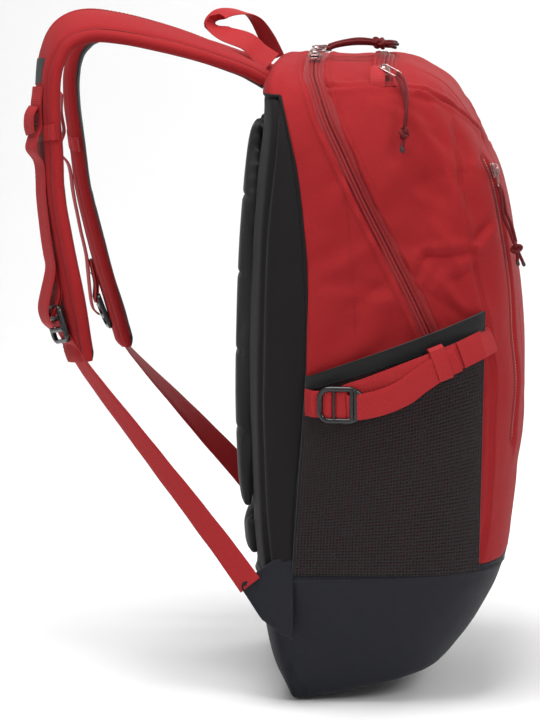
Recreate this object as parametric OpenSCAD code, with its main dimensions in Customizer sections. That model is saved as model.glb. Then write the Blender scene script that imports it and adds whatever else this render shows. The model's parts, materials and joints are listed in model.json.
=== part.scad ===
// Daypack of about 24 litres with a U-shaped main zip, side mesh pockets and shoulder straps.
// +Z is up, +Y points to the wearer, +X is the wearer's right. The origin is on the ground
// under the middle of the pack's box.

/* [Body] */
// Half of the pack's greatest width
half_w = 145; // [130:1:160]
// Height of the pack's body without its haul loop
body_h = 496; // [470:1:520]
// Thickness of the fabric shell
skin = 2; // [1.5:0.5:3]
// Thickness of the padded back panel
back_pad = 15; // [10:1:20]
// Height of the boot around the base
boot_h = 105; // [90:1:120]
// Rise of the base from back to front, for each millimetre of depth
base_slope = 0.21; // [0.1:0.01:0.25]

/* [Opening] */
// Height at which the front flap folds forward
fold_z = 298; // [280:1:300]
// Width of one half of the main zip's tape
tape_w = 7; // [5:0.5:9]

/* [Straps] */
// Width of a padded shoulder strap
strap_w = 64; // [55:1:75]
// Thickness of a shoulder strap's foam
strap_t = 12; // [9:0.5:16]
// Width of the webbing
web_w = 20; // [18:1:25]
// Thickness of the webbing
web_t = 1.6; // [1.2:0.1:2]

/* [Hidden] */
// Moves the pack so that the origin is under the middle of its box
CENTRE = [0, -74.7, 0];
// Stations up the body: height, share of the half width, front, rear and seam depth
STATIONS = [
    [0, 0.77, -60, 60, 56], [30, 0.84, -79, 74, 58], [60, 0.89, -94, 82, 58],
    [100, 0.94, -106, 88, 56], [160, 0.98, -113, 93, 53], [240, 1, -118, 96, 46],
    [300, 1, -115, 95, 45], [350, 0.99, -109, 93, 47], [400, 0.97, -99, 89, 52],
    [430, 0.945, -87, 86, 57], [455, 0.89, -74, 84, 63], [472, 0.815, -62, 83, 68],
    [484, 0.68, -45, 79, 69], [492, 0.46, -27, 74, 66], [495, 0.2, -12, 68, 62],
    [496, 0.01, 0, 64, 60],
];
STATION_TOP = 496;
FRONT_POWER = 4.2;
REAR_POWER = 3.6;
BASE_REACH = 120;
GAP = 0.5;
FABRIC_RED = "firebrick";
CHARCOAL = "#2b2d30";

// ---- The body's surface -------------------------------------------------------------------

function column(i) = [for (s = STATIONS) [s[0], s[i]]];
WIDTHS = column(1);
FRONTS = column(2);
REARS = column(3);
SEAMS = column(4);
function width_at(h) = half_w * lookup(h, WIDTHS);
function front_at(h) = lookup(h, FRONTS);
function rear_at(h) = lookup(h, REARS);
function seam_at(h) = lookup(h, SEAMS);
function lift(h, y) = max(0, 1 - h / BASE_REACH) * (SEAMS[0][1] - y) * base_slope;
function spread(c, power) = sign(c) * pow(abs(c), 2 / power);

// A point of the section at height h. Angle 0 is the middle of the front, 90 is the left
// side's back seam and 180 is the middle of the back. It lies d inside the outer surface.
function skin_point(h, angle, d) =
    let (
        c = cos(angle),
        s = sin(angle),
        power = c > 0 ? FRONT_POWER : REAR_POWER,
        seam = seam_at(h),
        reach = c > 0 ? seam - front_at(h) : rear_at(h) - seam,
        x = -max(0.4, width_at(h) - d) * spread(s, power),
        y = seam - sign(c) * max(0.4, reach - d) * pow(abs(c), 2 / power)
    )
    [x, y, min(h, STATION_TOP) * body_h / STATION_TOP + lift(h, y)];

// The angle at which the left half of the section at height h has depth y.
function angle_of(h, y) =
    let (
        seam = seam_at(h),
        front = y < seam,
        reach = front ? seam - front_at(h) : rear_at(h) - seam,
        share = min(1, abs(y - seam) / reach),
        c = pow(share, (front ? FRONT_POWER : REAR_POWER) / 2)
    )
    front ? acos(c) : 180 - acos(c);

// ---- Solids from grids and routes ---------------------------------------------------------

function quad(a, b, c, d) = [[a, b, c], [a, c, d]];

// A closed solid between two grids of points of the same size.
module slab(outer, inner) {
    rows = len(outer);
    cols = len(outer[0]);
    n = rows * cols;
    points = concat([for (r = outer) each r], [for (r = inner) each r]);
    faces = concat(
        [for (i = [0:rows - 2], j = [0:cols - 2])
            each quad(i * cols + j, (i + 1) * cols + j, (i + 1) * cols + j + 1, i * cols + j + 1)],
        [for (i = [0:rows - 2], j = [0:cols - 2])
            each quad(n + i * cols + j, n + i * cols + j + 1,
                n + (i + 1) * cols + j + 1, n + (i + 1) * cols + j)],
        [for (i = [0:rows - 2])
            each quad(i * cols, n + i * cols, n + (i + 1) * cols, (i + 1) * cols)],
        [for (i = [0:rows - 2])
            each quad((i + 1) * cols - 1, (i + 2) * cols - 1,
                n + (i + 2) * cols - 1, n + (i + 1) * cols - 1)],
        [for (j = [0:cols - 2]) each quad(j, j + 1, n + j + 1, n + j)],
        [for (j = [0:cols - 2])
            each quad(n - cols + j, 2 * n - cols + j, 2 * n - cols + j + 1, n - cols + j + 1)]
    );
    polyhedron(points, faces);
}

// A patch of the body's skin over the heights hs, between two angles that vary with height.
// out and in give the depth of its two faces below the surface.
module patch(hs, from, to, cols, out = function (h) 0, in = function (h) skin) {
    grid = function (d)
        [for (h = hs) [for (j = [0:cols])
            skin_point(h, from(h) + (to(h) - from(h)) * j / cols, d(h))]];
    slab(grid(out), grid(in));
}

function steps(a, b, n) = [for (i = [0:n]) a + (b - a) * i / n];
function always(v) = function (h) v;
function unit(v) = v / norm(v);

// A smooth route through hand-set points, with k steps between neighbours.
function spline(p, k = 4) =
    let (n = len(p) - 1)
    [for (i = [0:n - 1], j = [0:(i == n - 1 ? k : k - 1)])
        let (
            a = p[max(i - 1, 0)],
            b = p[i],
            c = p[i + 1],
            d = p[min(i + 2, n)],
            t = j / k
        )
        b + (c - a) * t / 2 + (2 * a - 5 * b + 4 * c - d) * t * t / 2
            + (3 * b - a - 3 * c + d) * t * t * t / 2];

function heading(p, i) = unit(p[min(i + 1, len(p) - 1)] - p[max(i - 1, 0)]);

// A flat strip of width w and thickness t along a route. Its width lies along the vector
// across, as nearly as the route lets it, and turns to the vector twist towards the far end.
// Instead, across can be a function of the share of the route.
// Over the first taper points it widens from half its width.
module strip(route, w, t, across = [1, 0, 0], twist = undef, taper = 0) {
    n = len(route);
    ring = [for (i = [0:n - 1])
        let (
            way = heading(route, i),
            turned = is_function(across) ? across(i / (n - 1))
                : is_undef(twist) ? across
                : across + (twist - across) * i / (n - 1),
            side = unit(turned - (turned * way) * way),
            up = cross(way, side),
            half = w / 2 * (taper == 0 ? 1 : min(1, 0.5 + 0.5 * i / taper))
        )
        [for (c = [[-1, -1], [1, -1], [1, 1], [-1, 1]])
            route[i] + side * half * c[0] + up * t / 2 * c[1]]];
    faces = concat(
        [[0, 1, 2], [0, 2, 3]],
        [for (i = [0:n - 2], j = [0:3])
            each quad(4 * i + j, 4 * i + 4 + j, 4 * i + 4 + (j + 1) % 4, 4 * i + (j + 1) % 4)],
        [[4 * n - 4, 4 * n - 2, 4 * n - 3], [4 * n - 4, 4 * n - 1, 4 * n - 2]]
    );
    polyhedron([for (r = ring) each r], faces);
}

// Places its children at a point of a straight stretch from a to b: the local X lies along
// the vector across, and the local Y along the stretch.
module along(a, b, share, across) {
    way = unit(b - a);
    side = unit(across - (across * way) * way);
    up = cross(side, way);
    at = a + (b - a) * share;
    multmatrix([for (k = [0:2]) [side[k], way[k], up[k], at[k]]]) children();
}

// A round cord of diameter d along a route.
module tube(route, d, sides = 8) {
    n = len(route);
    ring = [for (i = [0:n - 1])
        let (
            way = heading(route, i),
            side = unit(cross(way, abs(way[0]) < 0.9 ? [1, 0, 0] : [0, 1, 0])),
            up = cross(way, side)
        )
        [for (j = [0:sides - 1])
            route[i] + (side * cos(360 * j / sides) + up * sin(360 * j / sides)) * d / 2]];
    faces = concat(
        [[for (j = [0:sides - 1]) j]],
        [for (i = [0:n - 2], j = [0:sides - 1])
            each quad(sides * i + j, sides * (i + 1) + j,
                sides * (i + 1) + (j + 1) % sides, sides * i + (j + 1) % sides)],
        [[for (j = [0:sides - 1]) sides * n - 1 - j]]
    );
    polyhedron([for (r = ring) each r], faces);
}

module both(right) {
    if (right) mirror([1, 0, 0]) children();
    else children();
}

// ---- Shell --------------------------------------------------------------------------------

ROWS_LOW = [boot_h, 130, 160, 200, 240, fold_z - GAP];
ROWS_HIGH = [fold_z + GAP, 320, 350, 380, 400, 415, 430, 445, 455];
ROWS_TOP = [455, 464, 472, 478, 484, 488, 492, 494, 495, 496];
// Depth of the main zip's centre line against height
ZIP_LINE = [
    [270, -55], [289, -48], [309, -39], [353, -17], [392, 3], [428, 20], [451, 31], [473, 39],
    [484, 43], [492, 44], [496, 44],
];
// Depth of the seam between a side panel and the front
EDGE_LINE = [
    [0, -40], [60, -74], [105, -84], [130, -88], [200, -93], [250, -94], [300, -88],
    [380, -72], [430, -66], [455, -54], [472, -42], [484, -32], [492, -20], [496, -4],
];
function zip_y(h) = lookup(h, ZIP_LINE);
function edge_y(h) = lookup(h, EDGE_LINE);
seam_angle = always(90);
edge_angle = function (h) angle_of(h, edge_y(h));
function zip_angle(off) = function (h) angle_of(h, zip_y(h) + off);
function mirrored(f) = function (h) -f(h);

module boot() {
    hs = [0, 10, 20, 30, 45, 60, 80, 100, boot_h];
    turn = 48;
    wall = 3;
    floor_rise = 6;
    ring = function (h, d, up)
        [for (j = [0:turn - 1]) skin_point(h, 360 * j / turn, d) + [0, 0, up]];
    rings = concat(
        [for (h = hs) ring(h, h < 10 ? 6 : 0, 0)],
        [for (i = [len(hs) - 1:-1:0]) ring(hs[i], hs[i] < 10 ? 12 : wall, i == 0 ? floor_rise : 0)]
    );
    n = len(rings);
    faces = concat(
        [[for (j = [0:turn - 1]) j]],
        [for (i = [0:n - 2], j = [0:turn - 1])
            each quad(turn * i + j, turn * (i + 1) + j,
                turn * (i + 1) + (j + 1) % turn, turn * i + (j + 1) % turn)],
        [[for (j = [0:turn - 1]) turn * n - 1 - j]]
    );
    color(CHARCOAL) polyhedron([for (r = rings) each r], faces);
}

module back_panel() {
    hs = [boot_h, 130, 170, 210, 250, 290, 330, 370, 400, 430, 455, 468];
    color(CHARCOAL) patch(hs, always(90), always(270), 32, in = always(back_pad));
}

module frame_sheet() {
    sheet_w = 210;
    sheet_z = 110;
    sheet_h = 310;
    color("gainsboro") translate([-sheet_w / 2, 68, sheet_z]) cube([sheet_w, 1.5, sheet_h]);
}

module laptop_sleeve() {
    sleeve_w = 210;
    sleeve_z = 14;
    sleeve_h = 300;
    color("dimgray") translate([-sleeve_w / 2, 38, sleeve_z]) cube([sleeve_w, 4, sleeve_h]);
}

// The red rear of the top, behind the main zip, where the straps and the haul loop are sewn.
module back_yoke() {
    hs = [468.3, 472, 478, 484, 488, 492, 494, 495, 496];
    color(FABRIC_RED) patch(hs, zip_angle(tape_w), function (h) 360 - zip_angle(tape_w)(h), 32);
}

module side_panel(right) {
    color(FABRIC_RED) both(right) patch(ROWS_LOW, edge_angle, always(90), 12);
}

module side_yoke(right) {
    hs = [fold_z - GAP, 309, 331, 353, 372, 392, 410, 428, 440, 451, 460, 468];
    color(FABRIC_RED) both(right)
        patch(hs, zip_angle(tape_w), always(90), 8);
}

module front_panel() {
    color(FABRIC_RED) patch(ROWS_LOW, mirrored(edge_angle), edge_angle, 20);
}

module flap_front() {
    color(FABRIC_RED) patch(ROWS_HIGH, mirrored(edge_angle), edge_angle, 20);
}

module flap_side(right) {
    color(FABRIC_RED) both(right) patch(ROWS_HIGH, edge_angle, zip_angle(-tape_w), 10);
}

module flap_top() {
    color(FABRIC_RED) patch(ROWS_TOP, mirrored(zip_angle(-tape_w)), zip_angle(-tape_w), 32);
}

// ---- Zips ---------------------------------------------------------------------------------

ZIP_ROWS = [fold_z + GAP, 309, 331, 353, 372, 392, 410, 428, 440, 451, 462, 473, 480, 486, 490,
    493, 495, 496];

module zip_tape(right) {
    color("brown") both(right)
        patch(ZIP_ROWS, zip_angle(GAP / 2), zip_angle(tape_w - 0.1), 2, in = always(1.4));
}

module flap_tape(right) {
    color("brown") both(right)
        patch(ZIP_ROWS, zip_angle(0.1 - tape_w), zip_angle(-GAP / 2), 2, in = always(1.4));
}

// The top pocket's zip lies across the crown on the flap.
TOP_ZIP_Y = -10;
module top_pocket_zip() {
    hs = [474, 480, 486, 490, 493, 495, 496];
    near = function (h) angle_of(h, TOP_ZIP_Y + 7);
    far = function (h) angle_of(h, TOP_ZIP_Y - 7);
    color("brown") for (right = [false, true]) both(right)
        patch(hs, far, near, 2, out = always(-1.5), in = always(-0.05));
}

// The front pocket's zip lies down the left of the front, across the fold.
FRONT_ZIP_X = 92;
FRONT_ZIP_LOW = 203;
FRONT_ZIP_HIGH = 420;
function front_zip_angle(off) = function (h)
    asin(pow((FRONT_ZIP_X + off) / width_at(h), FRONT_POWER / 2));
module front_zip(hs) {
    color("brown") patch(hs, front_zip_angle(-4), front_zip_angle(4), 2,
        out = always(-1.4), in = always(-0.05));
}
module front_pocket_zip() {
    front_zip([fold_z + GAP, 320, 350, 380, 400, FRONT_ZIP_HIGH]);
}
module front_pocket_zip_end() {
    front_zip([FRONT_ZIP_LOW, 225, 250, 270, fold_z - GAP]);
}

// ---- Side pockets -------------------------------------------------------------------------

// Height of the pocket's mouth, which climbs to the front
function hem_z(y) = 284 - 0.36 * (y + 23);
POCKET_BULGE = 11;
function bulge(u, v) = -2 * GAP - POCKET_BULGE * pow(sin(180 * u), 0.5) * pow(sin(90 * v), 0.7);

// The pocket's skin between two shares of its height, t thick, standing off the side panel.
module pocket_skin(v0, v1, rows, t) {
    cols = 12;
    grid = function (extra)
        [for (i = [0:rows]) [for (j = [0:cols])
            let (
                v = v0 + (v1 - v0) * i / rows,
                u = 0.02 + 0.96 * j / cols,
                y = -89 + 3 * (1 - v) + (134 + 8 * (1 - v)) * u,
                h = boot_h + (hem_z(y) - boot_h) * v,
                at = skin_point(h, angle_of(h, y), bulge(u, v) - extra)
            )
            [at[0], y, h]]];
    slab(grid(t), grid(0));
}

module mesh_pocket(right) {
    color("#3a1c20") both(right) pocket_skin(0.02, 0.925, 8, 1);
}

module pocket_hem(right) {
    color("black") both(right) pocket_skin(0.926, 1, 1, 1.6);
}

// ---- Compression strap --------------------------------------------------------------------

SIDE_OUT = -(half_w + POCKET_BULGE + 2.5);
LATCH_Z = 240;
WEB_SIDE = [0, 0.35, 1];
// The webbing's straight stretches from the latch to its seam at the front
COMPRESSION_ROUTE = [
    [SIDE_OUT - 1.5, 12, 246], [SIDE_OUT - 1.5, 0, 250], [SIDE_OUT - 3.5, -20, 258],
    [SIDE_OUT - 3.3, -40, 266], [SIDE_OUT + 6.7, -70, 277], [SIDE_OUT + 24, -86, 283],
    [SIDE_OUT + 38, -94, 286],
];
KEEPER_FROM = COMPRESSION_ROUTE[3];
KEEPER_TO = COMPRESSION_ROUTE[4];

module compression_web(right) {
    color(FABRIC_RED) both(right) strip(COMPRESSION_ROUTE, web_w, web_t, WEB_SIDE);
}

module compression_stub(right) {
    route = [[-146, 56, LATCH_Z], [-150, 50, LATCH_Z], [SIDE_OUT + 1, 40, LATCH_Z],
        [SIDE_OUT - 1, 30, LATCH_Z]];
    color(FABRIC_RED) both(right) strip(route, web_w, web_t, [0, 0, 1]);
}

// A latch with three bars, lying flat and centred at the origin.
module latch(w, h, t) {
    corner = 5;
    bar = 3;
    slot = w / 5.2;
    linear_extrude(t, center = true) difference() {
        hull() for (x = [-1, 1], y = [-1, 1])
            translate([x * (w / 2 - corner), y * (h / 2 - corner)]) circle(corner, $fn = 32);
        for (x = [-1, 0, 1])
            translate([x * w / 3.3 - slot / 2, bar + 1 - h / 2]) square([slot, h - 2 * bar - 2]);
    }
}

module compression_buckle(right) {
    color("black") both(right) translate([SIDE_OUT - 4, 18, LATCH_Z])
        rotate([0, -90, 0]) rotate(90) latch(36, 27, 3);
}

// The keeper is a loop that slides along the compression webbing.
module keeper(right) {
    wall = 1.4;
    slack = 1.2;
    hole_w = web_w + 2 * slack;
    hole_t = web_t + 2 * slack;
    color(FABRIC_RED) both(right) along(KEEPER_FROM, KEEPER_TO, 0.5, WEB_SIDE) difference() {
        cube([hole_w + 2 * wall, 12, hole_t + 2 * wall], center = true);
        cube([hole_w, 13, hole_t], center = true);
    }
}

// ---- Lower wings --------------------------------------------------------------------------

WING_X = -137;
module wing(right) {
    color(CHARCOAL) both(right) translate([WING_X - 1.5, 0, 0]) rotate([90, 0, 90])
        linear_extrude(3) polygon([[59, 124], [78, 111], [93, 98], [93, 92], [80, 70], [64, 58]]);
}

// ---- Shoulder straps ----------------------------------------------------------------------

// The left strap's middle line, from beside its seam on the pack to its lower end
STRAP_ROUTE = spline([
    [-46, 95, 484], [-47, 108, 490], [-49, 135, 501], [-52, 165, 510], [-55, 195, 517],
    [-58, 220, 519], [-61, 238, 511], [-64, 248, 492], [-67, 251, 465], [-71, 250, 430],
    [-75, 249, 395], [-79, 244, 360], [-82, 238, 325], [-84, 231, 290], [-85, 225, 260],
], 3);
// How far the right strap leans closer to the pack than the left one, about its top seam
RIGHT_LEAN = -4;
STRAP_SEAM = [0, 80, 478];
FACE_OUT = [0.25, 0.78, -0.63];

module leant(right) {
    both(right)
        translate(STRAP_SEAM) rotate([right ? RIGHT_LEAN : 0, 0, 0]) translate(-STRAP_SEAM)
            children();
}

// Each strap turns along its length, so that both outer faces look a little to the left.
function strap_turn(right) = [1, right ? -0.25 : 0.6, 0];
function strap_roll(right) = [1, right ? -0.12 : 0.3, right ? 0 : 0.65];
function strap_across(right, t) =
    pow(1 - t, 2) * [1, 0, 0] + 2 * t * (1 - t) * strap_roll(right) + t * t * strap_turn(right);

// A point beside the strap's middle line: aside across it, and out from its outer face
function strap_at(right, i, aside, out) =
    let (
        way = heading(STRAP_ROUTE, i),
        n = len(STRAP_ROUTE) - 1,
        turned = strap_across(right, i / n),
        side = unit(turned - (turned * way) * way)
    )
    STRAP_ROUTE[i] + side * aside - cross(way, side) * (strap_t / 2 + out);

module strap_pad(right) {
    color(FABRIC_RED) leant(right)
        strip(STRAP_ROUTE, strap_w, strap_t, function (t) strap_across(right, t), taper = 6);
}

// The short webbing that sews a ladder lock to its strap
module strap_tab(right) {
    route = [strap_at(right, 36, -4, 0.7), strap_at(right, 37, -4, 1.6), [-87, 246, 300]];
    color(FABRIC_RED) leant(right) strip(route, web_w, web_t, strap_turn(right));
}

module ladder_lock(right) {
    color("black") leant(right) along([-87, 246, 303], [-88, 238, 276], 0.5, strap_turn(right))
        rotate(90) latch(30, 31, 3.4);
}

module strap_web(right) {
    route = spline([[-88, 240, 287], [-95, 216, 252], [-110, 172, 199], [-124, 128, 146],
        [-133, 104, 117], [-137, 94, 104]], 4);
    // The right strap leans, and its webbing still runs to its own wing.
    shift = right ? [0, 26, 2] : [0, 0, 0];
    n = len(route) - 1;
    aimed = [for (i = [0:n]) route[i] + shift * i / n];
    color(FABRIC_RED) leant(right) strip(aimed, web_w, web_t, strap_turn(right), FACE_OUT);
}

module strap_tail(right) {
    route = spline(concat([[-90, 250, 288], [-91, 253, 302]],
        [for (i = [35, 33, 30, 27, 25]) strap_at(right, i, -8, 5)]), 3);
    color(FABRIC_RED) leant(right) strip(route, web_w, web_t, strap_turn(right));
}

module haul_loop() {
    route = spline([[-19.5, 84, 493], [-15.5, 100, 504.5], [-12, 118, 511], [-3, 127, 519],
        [6, 121, 526], [14, 108, 527], [20, 97, 522], [24, 88, 508], [25, 83, 495]], 3);
    color(FABRIC_RED) strip(route, web_w, web_t, [0.6, -0.2, 0.7], [0.6, 0.7, -0.2]);
}

// ---- Sliders and pulls --------------------------------------------------------------------

// A slider's body with its bridge, its length along Y and its base at the origin
module slider_body() {
    translate([-5, -7, 0]) cube([10, 14, 2.4]);
    translate([-1.5, -5, 2.4]) cube([3, 10, 2]);
}

// The two main sliders meet on the crown, where the zip is closed.
MAIN_LEFT = [-66, 44, 494.8];
MAIN_RIGHT = [-44, 44, 497.2];
module main_slider(right) {
    color("silver") translate(right ? MAIN_RIGHT : MAIN_LEFT)
        rotate([0, right ? -7 : -12, 0]) rotate(90) slider_body();
}

module top_slider() {
    color("silver") translate([-100, TOP_ZIP_Y, 484.8]) rotate([0, -20, 0]) rotate(90)
        slider_body();
}

module front_slider() {
    color("silver") translate([-FRONT_ZIP_X, -91.9, 410]) rotate([72, 0, 0]) slider_body();
}

CORD_D = 2.6;
// Routes of the four cord pulls. Each ends in its knot, with two short tails past it.
MAIN_CORD_LEFT = [[-57, 35, 500], [-53, 28, 503], [-48, 16, 505], [-43, 6, 505],
    [-40, -2, 504]];
MAIN_CORD_RIGHT = [[-37, 35, 502], [-33, 28, 504], [-27, 16, 506], [-22, 7, 506],
    [-19, 0, 505]];
TOP_CORD = [[-109, -20, 484], [-118, -24, 479], [-128, -27, 470], [-136, -28, 458],
    [-139, -27, 446]];
FRONT_CORD = [[-93, -97, 400], [-95, -100, 391], [-96, -102, 378], [-97, -107, 366],
    [-97, -110, 356]];
module doubled_cord(points) {
    color("darkred") tube(spline(points, 3), 2 * CORD_D);
}

module knot(points) {
    n = len(points) - 1;
    color("darkred") along(points[n - 1], points[n], 1.4, [0.3, 0.5, 0.8])
        rotate([90, 0, 0]) cylinder(12, 5.5, 5.5, center = true, $fn = 32);
}

// ---- Nodes --------------------------------------------------------------------------------

module at_centre() {
    translate(CENTRE) children();
}

at_centre() boot();
at_centre() back_panel();
at_centre() frame_sheet();
at_centre() back_yoke();
at_centre() laptop_sleeve();
at_centre() side_panel(false);  // side_panel_left
at_centre() side_panel(true);  // side_panel_right
at_centre() side_yoke(false);  // side_yoke_left
at_centre() side_yoke(true);  // side_yoke_right
at_centre() front_panel();
at_centre() flap_front();
at_centre() flap_side(false);  // flap_side_left
at_centre() flap_side(true);  // flap_side_right
at_centre() flap_top();
at_centre() mesh_pocket(false);  // mesh_pocket_left
at_centre() mesh_pocket(true);  // mesh_pocket_right
at_centre() pocket_hem(false);  // pocket_hem_left
at_centre() pocket_hem(true);  // pocket_hem_right
at_centre() zip_tape(false);  // zip_tape_left
at_centre() zip_tape(true);  // zip_tape_right
at_centre() flap_tape(false);  // flap_tape_left
at_centre() flap_tape(true);  // flap_tape_right
at_centre() top_pocket_zip();
at_centre() front_pocket_zip();
at_centre() front_pocket_zip_end();
at_centre() wing(false);  // wing_left
at_centre() wing(true);  // wing_right
at_centre() compression_stub(false);  // compression_stub_left
at_centre() compression_stub(true);  // compression_stub_right
at_centre() compression_buckle(false);  // compression_buckle_left
at_centre() compression_buckle(true);  // compression_buckle_right
at_centre() compression_web(false);  // compression_web_left
at_centre() compression_web(true);  // compression_web_right
at_centre() keeper(false);  // keeper_left
at_centre() keeper(true);  // keeper_right
at_centre() strap_pad(false);  // strap_pad_left
at_centre() strap_pad(true);  // strap_pad_right
at_centre() strap_tab(false);  // strap_tab_left
at_centre() strap_tab(true);  // strap_tab_right
at_centre() ladder_lock(false);  // ladder_lock_left
at_centre() ladder_lock(true);  // ladder_lock_right
at_centre() strap_web(false);  // strap_web_left
at_centre() strap_web(true);  // strap_web_right
at_centre() strap_tail(false);  // strap_tail_left
at_centre() strap_tail(true);  // strap_tail_right
at_centre() haul_loop();
at_centre() main_slider(false);  // main_slider_left
at_centre() main_slider(true);  // main_slider_right
at_centre() top_slider();
at_centre() front_slider();
at_centre() doubled_cord(MAIN_CORD_LEFT);  // main_cord_left
at_centre() doubled_cord(MAIN_CORD_RIGHT);  // main_cord_right
at_centre() doubled_cord(TOP_CORD);  // top_cord
at_centre() doubled_cord(FRONT_CORD);  // front_cord
at_centre() knot(MAIN_CORD_LEFT);  // main_knot_left
at_centre() knot(MAIN_CORD_RIGHT);  // main_knot_right
at_centre() knot(TOP_CORD);  // top_knot
at_centre() knot(FRONT_CORD);  // front_knot
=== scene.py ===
"""Looks of the daypack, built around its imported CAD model. Lengths are in millimetres in the pack's own
frame, whose origin is below the middle of the body, and become metres in the row frame in to_row()."""

import json
import math

import bpy
import numpy as np
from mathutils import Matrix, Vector

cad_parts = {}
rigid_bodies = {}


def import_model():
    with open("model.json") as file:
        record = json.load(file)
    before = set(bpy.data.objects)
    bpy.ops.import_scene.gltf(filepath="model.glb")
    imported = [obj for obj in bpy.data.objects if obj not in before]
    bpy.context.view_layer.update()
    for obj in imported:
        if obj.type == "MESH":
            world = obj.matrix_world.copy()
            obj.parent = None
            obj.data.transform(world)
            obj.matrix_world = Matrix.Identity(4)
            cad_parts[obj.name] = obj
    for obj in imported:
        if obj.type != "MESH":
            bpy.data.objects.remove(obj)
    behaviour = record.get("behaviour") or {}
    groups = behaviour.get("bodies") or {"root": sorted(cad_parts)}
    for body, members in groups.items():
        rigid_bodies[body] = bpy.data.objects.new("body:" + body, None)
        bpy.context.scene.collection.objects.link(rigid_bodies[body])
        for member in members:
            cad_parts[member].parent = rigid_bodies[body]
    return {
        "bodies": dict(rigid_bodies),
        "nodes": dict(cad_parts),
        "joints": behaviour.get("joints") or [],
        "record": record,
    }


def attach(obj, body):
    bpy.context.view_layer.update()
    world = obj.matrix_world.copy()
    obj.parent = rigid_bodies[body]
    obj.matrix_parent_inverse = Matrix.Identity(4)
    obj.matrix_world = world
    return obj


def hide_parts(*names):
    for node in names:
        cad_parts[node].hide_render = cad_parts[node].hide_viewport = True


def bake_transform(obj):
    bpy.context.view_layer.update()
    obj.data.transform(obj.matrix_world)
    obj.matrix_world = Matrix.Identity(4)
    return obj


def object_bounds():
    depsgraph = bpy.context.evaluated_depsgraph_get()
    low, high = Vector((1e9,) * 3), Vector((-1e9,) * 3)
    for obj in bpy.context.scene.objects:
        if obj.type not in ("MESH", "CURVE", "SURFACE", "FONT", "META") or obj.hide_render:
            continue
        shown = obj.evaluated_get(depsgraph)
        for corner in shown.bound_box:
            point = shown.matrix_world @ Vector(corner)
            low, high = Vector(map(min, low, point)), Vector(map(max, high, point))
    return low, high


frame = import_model()
CAD_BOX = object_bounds()
CENTRE = np.array([0, -74.7, 0])


def to_row(p):
    return (np.asarray(p, float) + CENTRE) / 1000


# ---- Camera ----

LENS, SENSOR = 150, 36
CAMERA_AIM, CAMERA_REACH = [0, 83, 250.6], 2.4

camera_data = bpy.data.cameras.new("camera")
camera_data.lens, camera_data.sensor_width, camera_data.sensor_fit = LENS, SENSOR, "AUTO"
camera = bpy.data.objects.new("camera", camera_data)
bpy.context.scene.collection.objects.link(camera)
view_back = Vector((-0.98784, -0.06908, 0.13917))
camera.location = Vector(to_row(CAMERA_AIM)) + view_back * CAMERA_REACH
camera.rotation_euler = view_back.to_track_quat("Z", "Y").to_euler()
bpy.context.scene.camera = camera


# ---- Numbers ----

LATTICE = np.random.RandomState(7).rand(32, 32, 32) * 2 - 1


def noise(p, size, seed=0):
    """Smooth noise from -1 to 1 at points p, with features about size mm across."""
    q = np.asarray(p, float) / np.asarray(size, float) + seed * 5.37
    i = np.floor(q).astype(int)
    f = q - i
    f = f * f * (3 - 2 * f)
    total = 0
    for k in range(8):
        o = np.array([k >> 2 & 1, k >> 1 & 1, k & 1])
        w = np.prod(np.where(o, f, 1 - f), axis=-1)
        j = (i + o) % 32
        total = total + w * LATTICE[j[..., 0], j[..., 1], j[..., 2]]
    return total


def ramp(x, a, b):
    t = np.clip((np.asarray(x, float) - a) / (b - a), 0, 1)
    return t * t * (3 - 2 * t)


def bump(x, width):
    return np.exp(-((np.asarray(x, float) / width) ** 2))


def smooth_line(points):
    """A monotone cubic through given (x, y) pairs."""
    x, y = np.array(points, float).T
    h, d = np.diff(x), np.diff(y) / np.diff(x)
    m = np.concatenate([[d[0]], np.zeros(len(x) - 2), [d[-1]]])
    for k in range(1, len(x) - 1):
        if d[k - 1] * d[k] > 0:
            a, b = 2 * h[k] + h[k - 1], h[k] + 2 * h[k - 1]
            m[k] = (a + b) / (a / d[k - 1] + b / d[k])

    def f(q):
        q = np.clip(np.asarray(q, float), x[0], x[-1])
        i = np.clip(np.searchsorted(x, q, "right") - 1, 0, len(x) - 2)
        t = (q - x[i]) / h[i]
        return ((1 + 2 * t) * (1 - t) ** 2 * y[i] + t * (1 - t) ** 2 * h[i] * m[i] + t * t * (3 - 2 * t)
            * y[i + 1] + t * t * (t - 1) * h[i] * m[i + 1])

    return f


def spline(p, step=2.0):
    """A Catmull-Rom line through points p, resampled to even steps."""
    p = np.array(p, float)
    n = len(p) - 1
    out = []
    for i in range(n):
        a, b, c, d = p[max(i - 1, 0)], p[i], p[i + 1], p[min(i + 2, n)]
        t = np.linspace(0, 1, 24, endpoint=i == n - 1)[:, None]
        out.append(b + (c - a) * t / 2 + (2 * a - 5 * b + 4 * c - d) * t**2 / 2 + (3 * b - a - 3 * c + d)
            * t**3 / 2)
    return even(np.concatenate(out), step)


def run_of(p):
    """The length along points p, up to each one."""
    return np.concatenate([[0], np.cumsum(np.linalg.norm(np.diff(p, axis=0), axis=1))])


def even(p, step):
    p = np.asarray(p, float)
    s = run_of(p)
    n = max(2, int(round(s[-1] / step)) + 1)
    q = np.linspace(0, s[-1], n)
    return np.stack([np.interp(q, s, p[:, k]) for k in range(3)], 1)


def unit(v):
    v = np.asarray(v, float)
    return v / np.maximum(np.linalg.norm(v, axis=-1, keepdims=True), 1e-9)


def headings(p):
    return unit(np.gradient(np.asarray(p, float), axis=0))


# ---- The body's surface, as in part.scad ----

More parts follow.
